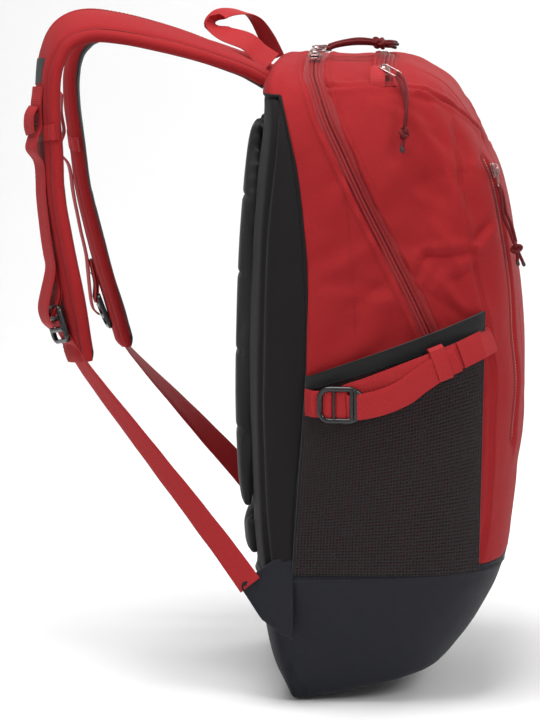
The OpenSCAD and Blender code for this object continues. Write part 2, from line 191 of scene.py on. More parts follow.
STATIONS = np.array([
    [0, 0.77, -60, 60, 56], [30, 0.84, -79, 74, 58], [60, 0.89, -94, 82, 58], [100, 0.94, -106, 88, 56],
    [160, 0.98, -113, 93, 53], [240, 1, -118, 96, 46], [300, 1, -115, 95, 45],
    [350, 0.99, -109, 93, 47], [400, 0.97, -99, 89, 52], [430, 0.945, -87, 86, 57],
    [455, 0.89, -74, 84, 63], [472, 0.815, -62, 83, 68], [484, 0.68, -45, 79, 69],
    [492, 0.46, -27, 74, 66], [495, 0.2, -12, 68, 62], [496, 0.01, 0, 64, 60],
])
HALF_W, FRONT_POWER, REAR_POWER, SLOPE = 145, 4.2, 3.6, 0.21
BOOT_H, FOLD, CREASE_TOP, YOKE_H, TAPE_W = 105, 297.5, 320, 468, 7
SHARE, FRONT_Y, REAR_Y, SEAM_Y = [smooth_line(STATIONS[:, [0, k]]) for k in (1, 2, 3, 4)]
ZIP_Y = smooth_line([
    [262, -58], [270, -55], [289, -48], [309, -39], [353, -17], [392, 3], [428, 20], [451, 31],
    [473, 39], [484, 43], [492, 44], [496, 44],
])
EDGE_Y = smooth_line([
    [0, -40], [60, -74], [105, -84], [130, -88], [200, -93], [250, -94], [300, -88], [380, -72],
    [430, -66], [455, -54], [472, -42], [484, -32], [492, -20], [496, -4],
])


def skin(h, angle, d=0.0):
    h, angle, d = np.broadcast_arrays(*[np.asarray(v, float) for v in (h, angle, d)])
    c, s = np.cos(np.radians(angle)), np.sin(np.radians(angle))
    power = np.where(c > 0, FRONT_POWER, REAR_POWER)
    seam = SEAM_Y(h)
    reach = np.where(c > 0, seam - FRONT_Y(h), REAR_Y(h) - seam)
    x = -np.maximum(0.4, HALF_W * SHARE(h) - d) * np.sign(s) * np.abs(s) ** (2 / power)
    y = seam - np.sign(c) * np.maximum(0.4, reach - d) * np.abs(c) ** (2 / power)
    return np.stack([x, y, h + np.maximum(0, 1 - h / 120) * (56 - y) * SLOPE], -1)


def angle_of(h, y):
    h, y = np.broadcast_arrays(np.asarray(h, float), np.asarray(y, float))
    seam = SEAM_Y(h)
    front = y < seam
    reach = np.where(front, seam - FRONT_Y(h), REAR_Y(h) - seam)
    share = np.minimum(1, np.abs(y - seam) / reach)
    c = share ** (np.where(front, FRONT_POWER, REAR_POWER) / 2)
    a = np.degrees(np.arccos(c))
    return np.where(front, a, 180 - a)


def angle_at_x(h, x):
    """The front's angle at x to the left of the middle."""
    return np.degrees(np.arcsin(np.minimum(1, x / (HALF_W * SHARE(h))) ** (FRONT_POWER / 2)))


def skin_normal(h, angle):
    """Outward normals of the surface, the same for every panel that meets at a point."""
    h, angle = np.broadcast_arrays(np.asarray(h, float), np.asarray(angle, float))
    lo, hi = np.maximum(h - 1.5, 0), np.minimum(h + 1.5, 495.99)
    up = skin(hi, angle) - skin(lo, angle)
    near, far = skin(h, angle - 1.5), skin(h, angle + 1.5)
    n = unit(np.cross(far - near, up))
    out = skin(h, angle) - np.stack([0 * h, SEAM_Y(h) - 10, np.minimum(h, 430)], -1)
    n = np.where((n * out).sum(-1, keepdims=True) < 0, -n, n)
    crown = ramp(h, 493, 496)[..., None]
    return unit(n * (1 - crown) + np.array([0, 0.08, 1]) * crown)


_u = np.linspace(0, 1, 50)
_front = np.concatenate([np.degrees(np.arcsin(_u ** (FRONT_POWER / 2))),
    np.degrees(np.arccos(_u ** (FRONT_POWER / 2)))])
_rear = np.concatenate([np.degrees(np.arcsin(_u ** (REAR_POWER / 2))),
    np.degrees(np.arccos(_u ** (REAR_POWER / 2)))])
_half = np.concatenate([_front, 180 - _rear])
ANGLES = np.unique(np.round(np.concatenate([-_half, _half, 360 - _half, _half - 360]), 4))


def even_angles(h, a, b, cols):
    q = np.concatenate([[a], ANGLES[(ANGLES > a + 0.01) & (ANGLES < b - 0.01)], [b]])
    s = run_of(skin(h, q))
    return np.interp(np.linspace(0, s[-1], cols + 1), s, q)


def even_heights(a, b, step):
    h = np.linspace(a, b, 900)
    reach = np.stack([h, HALF_W * SHARE(h), FRONT_Y(h)], 1)
    s = run_of(reach)
    n = int(round(s[-1] / step))
    return np.interp(np.linspace(0, s[-1], n + 1), s, h)


CROWN_EDGE, CROWN_TOP = 484, 495.97


def rows_to_crown(low_z, side_step, crown_step):
    side_rows = even_heights(low_z, CROWN_EDGE, side_step)[:-1]
    return np.concatenate([side_rows, even_heights(CROWN_EDGE, CROWN_TOP, crown_step)])


# ---- Meshes ----


def make(name, parts, materials):
    """One object from parts of (points, faces, uv, face materials). Each part is a closed surface in mm,
    and its faces are turned outward."""
    points, loops, starts, sizes, uvs, slots = [], [], [], [], [], []
    base = 0
    for p, faces, uv, slot in parts:
        p = np.asarray(p, float).reshape(-1, 3)
        volume = 0
        for f in faces:
            a = p[f[:, 0]]
            for k in range(1, f.shape[1] - 1):
                volume += (a * np.cross(p[f[:, k]], p[f[:, k + 1]])).sum()
        for k, f in enumerate(faces):
            f = f[:, ::-1] if volume < 0 else f
            starts.append(np.full(len(f), f.shape[1]))
            loops.append((f + base).ravel())
            slots.append(np.full(len(f), slot[k] if hasattr(slot, "__len__") else slot))
        points.append(p)
        uvs.append(np.asarray(uv, float).reshape(-1, 2))
        base += len(p)
    points, loops, uvs = np.concatenate(points), np.concatenate(loops), np.concatenate(uvs)
    sizes = np.concatenate(starts)
    me = bpy.data.meshes.new(name)
    me.vertices.add(len(points))
    me.vertices.foreach_set("co", to_row(points).ravel())
    me.loops.add(len(loops))
    me.loops.foreach_set("vertex_index", loops.astype(np.int32))
    me.polygons.add(len(sizes))
    me.polygons.foreach_set("loop_start", np.concatenate([[0], np.cumsum(sizes)[:-1]]).astype(np.int32))
    me.polygons.foreach_set("material_index", np.concatenate(slots).astype(np.int32))
    me.polygons.foreach_set("use_smooth", np.ones(len(sizes), bool))
    me.update(calc_edges=True)
    layer = me.uv_layers.new(name="UVMap")
    layer.data.foreach_set("uv", (uvs[loops] / 1000).ravel())
    me.validate()
    me.set_sharp_from_angle(angle=math.radians(52))
    for m in materials:
        me.materials.append(m)
    obj = bpy.data.objects.new(name, me)
    bpy.context.scene.collection.objects.link(obj)
    return obj


def quads(rows, cols, wrap=False):
    i, j = np.meshgrid(np.arange(rows - 1), np.arange(cols if wrap else cols - 1), indexing="ij")
    k = (j + 1) % cols
    return np.stack([i * cols + j, i * cols + k, (i + 1) * cols + k, (i + 1) * cols + j], -1).reshape(-1, 4)


def grid_uv(p):
    u = np.concatenate([np.zeros((len(p), 1)), np.cumsum(np.linalg.norm(np.diff(p, axis=1), axis=2), 1)], 1)
    u = u - u[:, -1:] / 2
    v = np.concatenate([[0], np.cumsum(np.linalg.norm(np.diff(p, axis=0), axis=2).mean(1))])
    return np.stack([u, np.broadcast_to(v[:, None], u.shape)], -1)


def shell(outer, normal, t, face=0, lining=1):
    """A closed part t thick from a grid of points and the normals there."""
    rows, cols = outer.shape[:2]
    inner = outer - normal * t
    n = rows * cols
    q = quads(rows, cols)
    idx = np.arange(n).reshape(rows, cols)
    rim = np.concatenate([idx[0, :], idx[1:, -1], idx[-1, -2::-1], idx[-2:0:-1, 0]])
    nxt = np.roll(rim, -1)
    edge = np.stack([rim, rim + n, nxt + n, nxt], -1)
    uv = grid_uv(outer)
    return (np.concatenate([outer.reshape(-1, 3), inner.reshape(-1, 3)]), [q, (q + n)[:, ::-1], edge],
        np.concatenate([uv.reshape(-1, 2)] * 2), [face, lining, face],)


def ring_part(rings, slot=0, closed=False):
    """A closed part from rings of points, rows x around, with fans at its ends."""
    rings = np.asarray(rings, float)
    rows, around = rings.shape[:2]
    around_s = run_of(rings[rows // 2])
    along_s = run_of(rings.mean(1))
    uv = np.stack(np.broadcast_arrays(around_s[None, :], along_s[:, None]), -1).reshape(-1, 2)
    p = rings.reshape(-1, 3)
    if closed:
        q = quads(rows + 1, around, True) % (rows * around)
        return p, [q], uv, slot
    q = quads(rows, around, True)
    n = rows * around
    p = np.concatenate([p, rings[[0, -1]].mean(1)])
    uv = np.concatenate([uv, [[0, 0], [0, along_s[-1]]]])
    j = np.arange(around)
    k = (j + 1) % around
    start = np.stack([k, j, np.full(around, n)], -1)
    last = (rows - 1) * around
    end = np.stack([last + j, last + k, np.full(around, n + 1)], -1)
    return p, [q, start, end], uv, slot


def tube_part(path, r, sides=10, slot=0, closed=False):
    """A round tube along a path. r is a number or one radius for each point."""
    path = np.asarray(path, float)
    way = unit(np.roll(path, -1, 0) - np.roll(path, 1, 0)) if closed else headings(path)
    side = np.zeros_like(path)
    s = unit(np.cross(way[0], [0, 0, 1] if abs(way[0][2]) < 0.9 else [1, 0, 0]))
    for i, w in enumerate(way):
        s = unit(s - (s @ w) * w)
        side[i] = s
    up = np.cross(way, side)
    if closed:
        end = side[-1] - (side[-1] @ way[0]) * way[0]
        twist = math.atan2(unit(end) @ up[0], unit(end) @ side[0])
        a = -twist * np.linspace(0, 1, len(path))[:, None]
        side, up = side * np.cos(a) + up * np.sin(a), up * np.cos(a) - side * np.sin(a)
    t = np.arange(sides) * 2 * math.pi / sides
    r = np.broadcast_to(r, len(path))[:, None, None]
    rings = path[:, None] + r * (side[:, None] * np.cos(t)[None, :, None] + up[:, None]
        * np.sin(t)[None, :, None])
    return ring_part(rings, slot, closed)


def frames(route, across, twist=None, roll=None):
    """The side and outward vectors along a route, as in part.scad's strip()."""
    way = headings(route)
    across = np.asarray(across, float)
    k = np.linspace(0, 1, len(route))[:, None]
    turned = across + (0 if twist is None else (np.asarray(twist) - across) * k)
    if roll is not None:
        turned = (1 - k) ** 2 * across + 2 * k * (1 - k) * np.asarray(roll) + k * k * np.asarray(twist)
    turned = np.broadcast_to(turned, way.shape)
    side = unit(turned - (turned * way).sum(1, keepdims=True) * way)
    return side, np.cross(side, way), way


def strip_part(route, w, t, across, twist=None, slot=0, bow=0.0, ripple=0.0, seed=1, lift=0.0):
    """Webbing: a flat strip with rounded edges, slightly bowed and rippled."""
    side, out, _ = frames(route, across, twist)
    route = np.asarray(route, float)
    s = run_of(route)
    if ripple:
        wob = noise(np.stack([s, 0 * s, 0 * s], 1), 17, seed) * ripple
        route = route + out * wob[:, None]
    w = np.broadcast_to(w, len(route))
    cross = []
    for x in np.linspace(-1, 1, 9):
        cross.append((x, 0.5))
    for x in np.linspace(1, -1, 9):
        cross.append((x, -0.5))
    cross = np.array(cross)
    round_off = np.sqrt(np.clip(1 - np.abs(cross[:, 0]) ** 14, 0, 1)) * 0.7 + 0.3
    x = cross[:, 0][None, :] * w[:, None] / 2
    n = cross[:, 1] * t * round_off + bow * (1 - cross[:, 0] ** 2) + lift
    curl = noise(np.stack([np.broadcast_to(s[:, None], x.shape), x, 0 * x], -1), 21,
        seed + 3) * ripple * 0.5
    rings = route[:, None] + side[:, None] * x[..., None] + out[:, None] * (n[None, :] + curl)[..., None]
    return ring_part(rings, slot)


STITCH_LIFT = 0.15


def stitch_parts(path, normal, pitch=3.2, length=2.2, r=0.28, slot=0):
    """A row of thread stitches along a path that lies on fabric."""
    p = even(path, pitch)
    n = np.stack([np.interp(np.linspace(0, 1, len(p)), np.linspace(0, 1, len(normal)), normal[:, k])
        for k in range(3)], 1)
    way = headings(p)
    side = unit(np.cross(way, n))
    n = unit(np.cross(side, way))
    parts = []
    t = np.arange(6) * math.pi / 3
    for a, w, s, u in zip(p, way, side, n):
        rows = []
        for k, rr, z in ((-0.5, 0.35, -0.3), (-0.3, 1, 0.2), (0, 1.05, 0.35), (0.3, 1, 0.2),
                (0.5, 0.35, -0.3)):
            rows.append(a + w * k * length + u * (STITCH_LIFT + z * r) + r * rr
                * (s * np.cos(t)[:, None] + u * np.sin(t)[:, None]))
        parts.append(np.array(rows))
    rings = np.array(parts)
    m = len(rings)
    q = quads(5, 6, True)
    caps = np.array([[5, 4, 3, 2], [5, 2, 1, 0], [24, 25, 26, 27], [24, 27, 28, 29]])
    f = np.concatenate([q, caps])
    f = (f[None] + np.arange(m)[:, None, None] * 30).reshape(-1, 4)
    return rings.reshape(-1, 3), [f], np.zeros((m * 30, 2)), slot


def mirror(part):
    p, faces, uv, slot = part
    return np.asarray(p).reshape(-1, 3) * [-1, 1, 1], faces, uv, slot


def same(part):
    return part


def leaned(p, right):
    """The right strap leans 4 degrees closer to the pack, about its top seam."""
    p = np.asarray(p, float)
    if not right:
        return p
    a = math.radians(-4)
    q = p - [0, 80, 478]
    y = q[..., 1] * math.cos(a) - q[..., 2] * math.sin(a)
    z = q[..., 1] * math.sin(a) + q[..., 2] * math.cos(a)
    return np.stack([-q[..., 0], y, z], -1) + [0, 80, 478]


def lean_part(part, right):
    p, faces, uv, slot = part
    return leaned(np.asarray(p).reshape(-1, 3), right), faces, uv, slot


def done(obj, body, nodes=(), blend=None):
    """Parents a finished piece to the body it rides on, or only bakes its place into its mesh when blend is
    given, and hides the nodes it stands for.
    """
    if blend:
        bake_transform(obj)
    else:
        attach(obj, body)
    if nodes:
        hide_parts(*nodes)
    return obj


def add(name, parts, materials, body, nodes=(), blend=None):
    return done(make(name, parts, materials), body, nodes, blend)


SIDES = ((False, "left"), (True, "right"))
FOLD_BLEND = ("pack", "flap", (0, 0, FOLD), (0, 0, CREASE_TOP))


# ---- Materials ----


# The wave texture repeats every 0.31416 units at scale 1.
WAVE_SCALE = 0.31416


class Nodes:
    """A new material and short calls to add and join its shader nodes."""

    def __init__(self, name):
        self.mat = bpy.data.materials.new(name)
        self.mat.use_nodes = True
        self.tree = self.mat.node_tree
        self.bsdf = self.tree.nodes["Principled BSDF"]
        self.where = {}

    def feed(self, n, inputs):
        for k, v in inputs.items():
            if isinstance(v, bpy.types.NodeSocket):
                self.tree.links.new(v, n.inputs[k])
            else:
                n.inputs[k].default_value = v

    def add(self, kind, inputs=None, **settings):
        n = self.tree.nodes.new(kind)
        for k, v in settings.items():
            setattr(n, k, v)
        self.feed(n, inputs or {})
        return n

    def place(self, kind):
        if kind not in self.where:
            n = self.add("ShaderNodeTexCoord")
            self.where[kind] = n.outputs[kind]
        return self.where[kind]

    def math(self, op, a, b):
        return self.add("ShaderNodeMath", {0: a, 1: b}, operation=op).outputs[0]

    def mul(self, a, b):
        return self.math("MULTIPLY", a, b)

    def plus(self, a, b):
        return self.math("ADD", a, b)

    def minus(self, a, b):
        return self.math("SUBTRACT", a, b)

    def noise(self, scale, detail=2.0):
        inputs = {"Vector": self.place("Object"), "Scale": scale, "Detail": detail}
        return self.add("ShaderNodeTexNoise", inputs).outputs["Fac"]

    def wave(self, period, axis, distortion=0.0):
        inputs = {"Vector": self.place("UV"), "Scale": WAVE_SCALE / period, "Distortion": distortion,
            "Detail Scale": 1.0}
        return self.add("ShaderNodeTexWave", inputs, bands_direction=axis).outputs["Fac"]

    def mix(self, fac, a, b):
        return self.add("ShaderNodeMix", {0: fac, 6: a, 7: b}, data_type="RGBA").outputs[2]

    def span(self, x, a, b, lo=0.0, hi=1.0):
        return self.add("ShaderNodeMapRange", {0: x, 1: a, 2: b, 3: lo, 4: hi}).outputs[0]

    def bump(self, height, distance, strength=1.0, normal=None):
        inputs = {"Height": height, "Distance": distance, "Strength": strength}
        if normal:
            inputs["Normal"] = normal
        return self.add("ShaderNodeBump", inputs).outputs[0]

    def set(self, **sockets):
        self.feed(self.bsdf, {k.replace("_", " "): v for k, v in sockets.items()})
        return self.mat


def shade(c, k):
    return (c[0] * k, c[1] * k, c[2] * k, 1)


def woven(name, color, period=0.0011, rough=0.72, sheen=0.02, relief=0.00030, heather=0.16):
    """Plain-woven cloth: warp and weft ridges, slight colour changes from thread to thread, and wear."""
    m = Nodes(name)
    warp, weft = m.wave(period, "X", 0.6), m.wave(period, "Y", 0.6)
    cross = m.mul(m.minus(warp, 0.5), m.minus(weft, 0.5))
    weave = m.plus(m.mul(cross, 2.0), 0.5)
    fine = m.noise(900, 3)
    thread = m.add("ShaderNodeTexNoise", {"Vector": m.add("ShaderNodeMapping",
        {"Vector": m.place("UV"), "Scale": (160, 900, 160)}).outputs[0], "Scale": 1.0,
        "Detail": 2.0}).outputs["Fac"]
    broad = m.noise(14, 3)
    tone = m.plus(m.mul(thread, 0.5), m.mul(fine, 0.5))
    dark = m.mix(m.span(tone, 0.35, 0.65), shade(color, 1 - heather), shade(color, 1 + heather))
    tinted = m.mix(m.span(broad, 0.3, 0.7), shade((color[0], color[1] * 1.06, color[2] * 1.08), 0.94),
        shade(color, 1.05))
    both = m.mix(0.5, dark, tinted)
    height = m.plus(weave, m.mul(fine, 0.5))
    normal = m.bump(height, relief, 0.75)
    soft = m.bump(m.noise(55, 3), 0.0009, 0.35, normal)
    return m.set(Base_Color=both, Roughness=m.span(fine, 0.3, 0.7, rough - 0.06, rough + 0.06), Normal=soft,
        Sheen_Weight=sheen, Sheen_Roughness=0.45, Specular_IOR_Level=0.15)


def webbing(name, color, rib=0.0014, rough=0.6):
    """Webbing: close ribs across the tape and a smooth selvedge."""
    m = Nodes(name)
    ribs = m.wave(rib, "Y", 0.25)
    cords = m.wave(0.0017, "X", 0.4)
    fine = m.noise(1100, 2)
    # The colour follows the ribs: partly random tone, partly painted shade in the grooves between ribs.
    tone = m.plus(m.mul(ribs, 0.45), m.mul(fine, 0.55))
    base = m.mix(m.span(tone, 0.25, 0.75), shade(color, 0.84), shade(color, 1.12))
    height = m.plus(m.mul(ribs, 0.8), m.mul(cords, 0.35))
    normal = m.bump(m.plus(height, m.mul(fine, 0.3)), 0.00022, 0.8)
    return m.set(Base_Color=base, Roughness=rough, Normal=normal, Sheen_Weight=0.02, Sheen_Roughness=0.4,
        Specular_IOR_Level=0.18)


def knit(name, color, period=0.0024, holes=False, show=0.6):
    """Mesh fabric: a grid of small openings between thicker yarns, with painted shade in the openings."""
    m = Nodes(name)
    a, b = m.wave(period * 0.94, "X"), m.wave(period, "Y")
    fine = m.noise(1300, 2)
    gap = m.mul(m.span(a, 0.4, 0.7), m.span(b, 0.4, 0.7))
    base = m.mix(m.span(fine, 0.3, 0.7), shade(color, 0.8), shade(color, 1.25))
    # The openings are painted dark, as painted shade inside the mesh.
    base = m.mix(gap, base, shade(color, 0.35))
    normal = m.bump(m.minus(m.mul(fine, 0.2), gap), 0.0002, 0.7)
    m.set(Base_Color=base, Roughness=0.75, Normal=normal, Sheen_Weight=0.08, Specular_IOR_Level=0.25)
    if holes:
        m.set(Alpha=m.minus(1.0, m.mul(gap, show)))
        m.mat.surface_render_method = "DITHERED"
    return m.mat


def plastic(name, color, rough=0.32):
    m = Nodes(name)
    grain, broad = m.noise(1800, 2), m.noise(60, 3)
    base = m.mix(m.span(broad, 0.35, 0.65), shade(color, 0.85), shade(color, 1.2))
    return m.set(Base_Color=base, Roughness=m.span(broad, 0.3, 0.7, rough - 0.06, rough + 0.1),
        Normal=m.bump(grain, 0.00006, 0.5), Specular_IOR_Level=0.5)


def metal(name, color, rough):
    m = Nodes(name)
    broad, fine = m.noise(160, 3), m.noise(1500, 2)
    base = m.mix(m.span(broad, 0.4, 0.7), shade(color, 0.8), shade(color, 1.15))
    return m.set(Base_Color=base, Metallic=1.0,
        Roughness=m.span(fine, 0.3, 0.7, rough - 0.05, rough + 0.12), Normal=m.bump(fine, 0.00004, 0.4))


def braid(name, color):
    """Round cord with a diagonal braid."""
    m = Nodes(name)
    uv = m.add("ShaderNodeMapping", {"Vector": m.place("UV"),
        "Rotation": (0, 0, math.radians(45))}).outputs[0]
    waves = [m.add("ShaderNodeTexWave", {"Vector": uv, "Scale": WAVE_SCALE / 0.0013},
        bands_direction=a).outputs["Fac"] for a in "XY"]
    weave = m.mul(m.minus(waves[0], 0.5), m.minus(waves[1], 0.5))
    fine = m.noise(1500, 2)
    # The colour follows the braid's relief: painted shade in the grooves between strands, and random tone
    # from the fine noise.
    base = m.mix(m.span(m.plus(weave, m.mul(fine, 0.4)), 0.0, 0.5), shade(color, 0.72), shade(color, 1.25))
    return m.set(Base_Color=base, Roughness=0.66, Sheen_Weight=0.02, Specular_IOR_Level=0.2,
        Normal=m.bump(m.plus(m.mul(weave, 1.6), m.mul(fine, 0.25)), 0.00028, 0.9))


RED = (0.300, 0.0110, 0.0135)
WEB_RED = (0.345, 0.0150, 0.0180)
CHARCOAL = (0.0080, 0.0066, 0.0071)
BOOT_GREY = (0.0135, 0.0138, 0.0190)
red_cloth = woven("red_fabric", RED)
grey_cloth = woven("charcoal_fabric", CHARCOAL, rough=0.7, sheen=0.05, heather=0.2)
boot_cloth = woven("boot_fabric", BOOT_GREY, period=0.0015, rough=0.66, sheen=0.05, heather=0.2,
    relief=0.0003)
lining = woven("lining", (0.10, 0.105, 0.115), period=0.0009, rough=0.62, sheen=0.2)
pocket_mesh = knit("mesh", (0.013, 0.0078, 0.0088), period=0.0026, holes=True, show=0.75)
spacer_mesh = knit("spacer_mesh", (0.011, 0.011, 0.012), period=0.0030)
binding = woven("black_binding", (0.0085, 0.0085, 0.009), period=0.0016, rough=0.6, sheen=0.2, heather=0.2)
red_web = webbing("red_webbing", WEB_RED)
zip_cloth = webbing("zip_tape", (0.235, 0.0125, 0.0150), rib=0.0009, rough=0.5)
# A near-black strip in each zip's middle is painted shade, where the two coils meet.
slit_shade = plastic("zip_slit_shade", (0.030, 0.006, 0.007), 0.5)
# Pale pink, far lighter than the red tape: painted highlights on the coil's teeth.
coil_highlight = plastic("zip_coil_highlight", (0.62, 0.24, 0.22), 0.45)
thread = braid("thread", (0.22, 0.011, 0.013))
thread_dark = braid("dark_thread", (0.03, 0.031, 0.034))
black_plastic = plastic("black_plastic", (0.010, 0.010, 0.011), 0.24)
slider_metal = metal("slider_metal", (0.46, 0.30, 0.29), 0.24)
pull_cord = braid("pull_cord", (0.125, 0.005, 0.007))
cord_tip = plastic("cord_tip", (0.035, 0.008, 0.009), 0.4)
stiffener = plastic("stiffener", (0.55, 0.56, 0.57), 0.45)
label_cloth = webbing("plain_label", (0.016, 0.016, 0.018), 0.0008, 0.55)

# ---- Zip pulls: cords first ----

CORD_D = 2.6
CORDS = {
    "main_cord_left": ([[-57, 35, 500], [-53, 28, 503], [-48, 16, 505], [-43, 6, 505], [-40, -2, 504]],
                       "pull_main_left", "main_knot_left"),
    "main_cord_right": ([[-37, 35, 502], [-33, 28, 504], [-27, 16, 506], [-22, 7, 506], [-19, 0, 505]],
                        "pull_main_right", "main_knot_right"),
    "top_cord": ([[-109, -20, 484], [-118, -24, 479], [-128, -27, 470], [-136, -28, 458],
                  [-139, -27, 446]],
                 "pull_top", "top_knot"),
    "front_cord": ([[-93, -97, 400], [-95, -100, 391], [-96, -102, 378], [-97, -107, 366],
                    [-97, -110, 356]],
                   "pull_front", "front_knot"),
}


def knot_parts(route, seed):
    """An overhand knot where the doubled cord ends, and its two short tails with dark tips."""
    a, b = np.array(route[-2], float), np.array(route[-1], float)
    way = unit(b - a)
    at = a + (b - a) * 1.4
    side = unit(np.cross(way, [0.3, 0.5, 0.8]))
    up = np.cross(side, way)
    t = np.linspace(0, 2 * math.pi, 80, endpoint=False)
    turn = np.stack([np.sin(t) + 2 * np.sin(2 * t), np.cos(t) - 2 * np.cos(2 * t), -np.sin(3 * t) * 1.25],
        1)
    path = at + turn[:, :1] * side * 1.25 + turn[:, 1:2] * way * 1.35 + turn[:, 2:] * up * 1.55
    parts = [tube_part(path, 1.55, 10, 0, closed=True)]
    for k in (-1, 1):
        out = [at + way * 2 + side * k * 0.8, at + way * 6 + side * k * 1.4 + up * 0.4 * k,
            at + way * 10 + side * k * 2.3 + up * 0.5, at + way * (14 + seed % 2 * k) + side * k * 2.6]
        line = spline(out, 0.7)
        n = len(line)
        r = np.full(n, CORD_D / 2)
        parts.append(tube_part(line[: n - 5], r[: n - 5], 10, 0))
        tip = np.concatenate([line[n - 6 :], line[-1:] + headings(line)[-1] * 0.5])
        parts.append(tube_part(tip, [1.2, 1.42, 1.42, 1.42, 1.38, 1.2, 0.6][: len(tip)], 10, 1))
    return parts


for seed, (name, (route, body, knot)) in enumerate(CORDS.items()):
    centre = spline(route, 1.2)
    way = headings(centre)
    side = unit(np.cross(way, [0.3, 0.5, 0.8]))
    knot_piece = add(knot.replace("knot", "tied_knot"), knot_parts(route, seed), [pull_cord, cord_tip],
        body, [knot])
    for k, strand in ((-1, "a"), (1, "b")):
        grow = 0.75 + 0.55 * np.sin(np.linspace(0, math.pi, len(centre)))
        path = centre + side * (k * CORD_D / 2 * grow[:, None] * 1.15)
        piece = add(f"{name}_{strand}", [tube_part(path, CORD_D / 2, 12)], [pull_cord], body,
            [name])

# ---- Body cloth ----

# The lid's seam, pressed into the cloth: (x, y, z) points on the left, mirrored on the right
LID_SEAM = np.array([[-117, 36, 473], [-104, -35, 473], [-95, -56, 465], [-83, -69, 456],
                     [-65, -80, 442],
                     [-33, -88, 428], [0, -90, 424]], float)


def line_gap(p, line):
    """The distance of points p, folded onto the left side, from a 3-D line."""
    q = p * [1, 1, 1]
    q[..., 0] = -np.abs(q[..., 0])
    best = np.full(p.shape[:-1], 1e9)
    for a, b in zip(line[:-1], line[1:]):
        t = np.clip(((q - a) @ (b - a)) / ((b - a) @ (b - a)), 0, 1)
        best = np.minimum(best, np.linalg.norm(q - a - t[..., None] * (b - a), axis=-1))
    return best


# Folds on the side, as (y, height, angle, half width, depth)
FOLDS = [
    (-46, 436, 0.95, 5.0, 2.6), (-30, 452, 0.35, 4.0, 1.8), (-62, 404, 1.25, 5.5, 2.8),
    (-40, 396, 0.75, 6.5, 2.2), (-58, 362, 1.0, 5.0, 2.2), (-34, 344, 0.5, 6.0, 1.6),
    (14, 402, -0.9, 7.0, 1.5), (24, 340, -0.5, 7.0, 1.6), (4, 318, 0.25, 6.0, 1.5),
    (-66, 318, 1.2, 4.5, 1.8), (-12, 366, -0.75, 6.5, 1.5), (-20, 468, 0.2, 3.6, 1.6),
]


# Sharp creases on the side, as (y, height) of both ends, depth and half width
CREASES = [
    (-44, 349.6, -78, 352, 2.4, 2.6), (-44, 349.6, -36.8, 334.5, 1.8, 3.0),
    (-94, 376, -82, 361, 3.0, 3.0), (-36.8, 467, -63, 461, 2.6, 2.4), (-14, 332, 3.4, 317, 1.8, 5.0),
    (-55.7, 317, -74.6, 302, 2.2, 4.0), (-25, 400, -56, 409, 1.2, 6.0), (-66, 447, -76, 421, 2.0, 3.0),
    (22, 372, 34, 330, 1.2, 6.0), (-60, 330, -80, 340, 1.8, 3.0),
]


def creases(y, h):
    total = np.zeros(np.broadcast(y, h).shape)
    for y0, h0, y1, h1, depth, width in CREASES:
        ry, rh = y1 - y0, h1 - h0
        t = np.clip(((y - y0) * ry + (h - h0) * rh) / (ry * ry + rh * rh), 0, 1)
        oy, oh = y - y0 - t * ry, h - h0 - t * rh
        gap = np.hypot(oy, oh)
        over = np.sign(oy * rh - oh * ry) > 0
        total -= depth * bump(gap, width) * (0.4 + 0.6 * np.sin(np.pi * np.clip(t, 0.08, 0.92)))
        total += 0.7 * depth * bump(gap - 2.2 * width, 1.5 * width) * over
    return total


def hem_z(y):
    """Height of a side pocket's mouth."""
    return 284 - 0.36 * (y + 23)


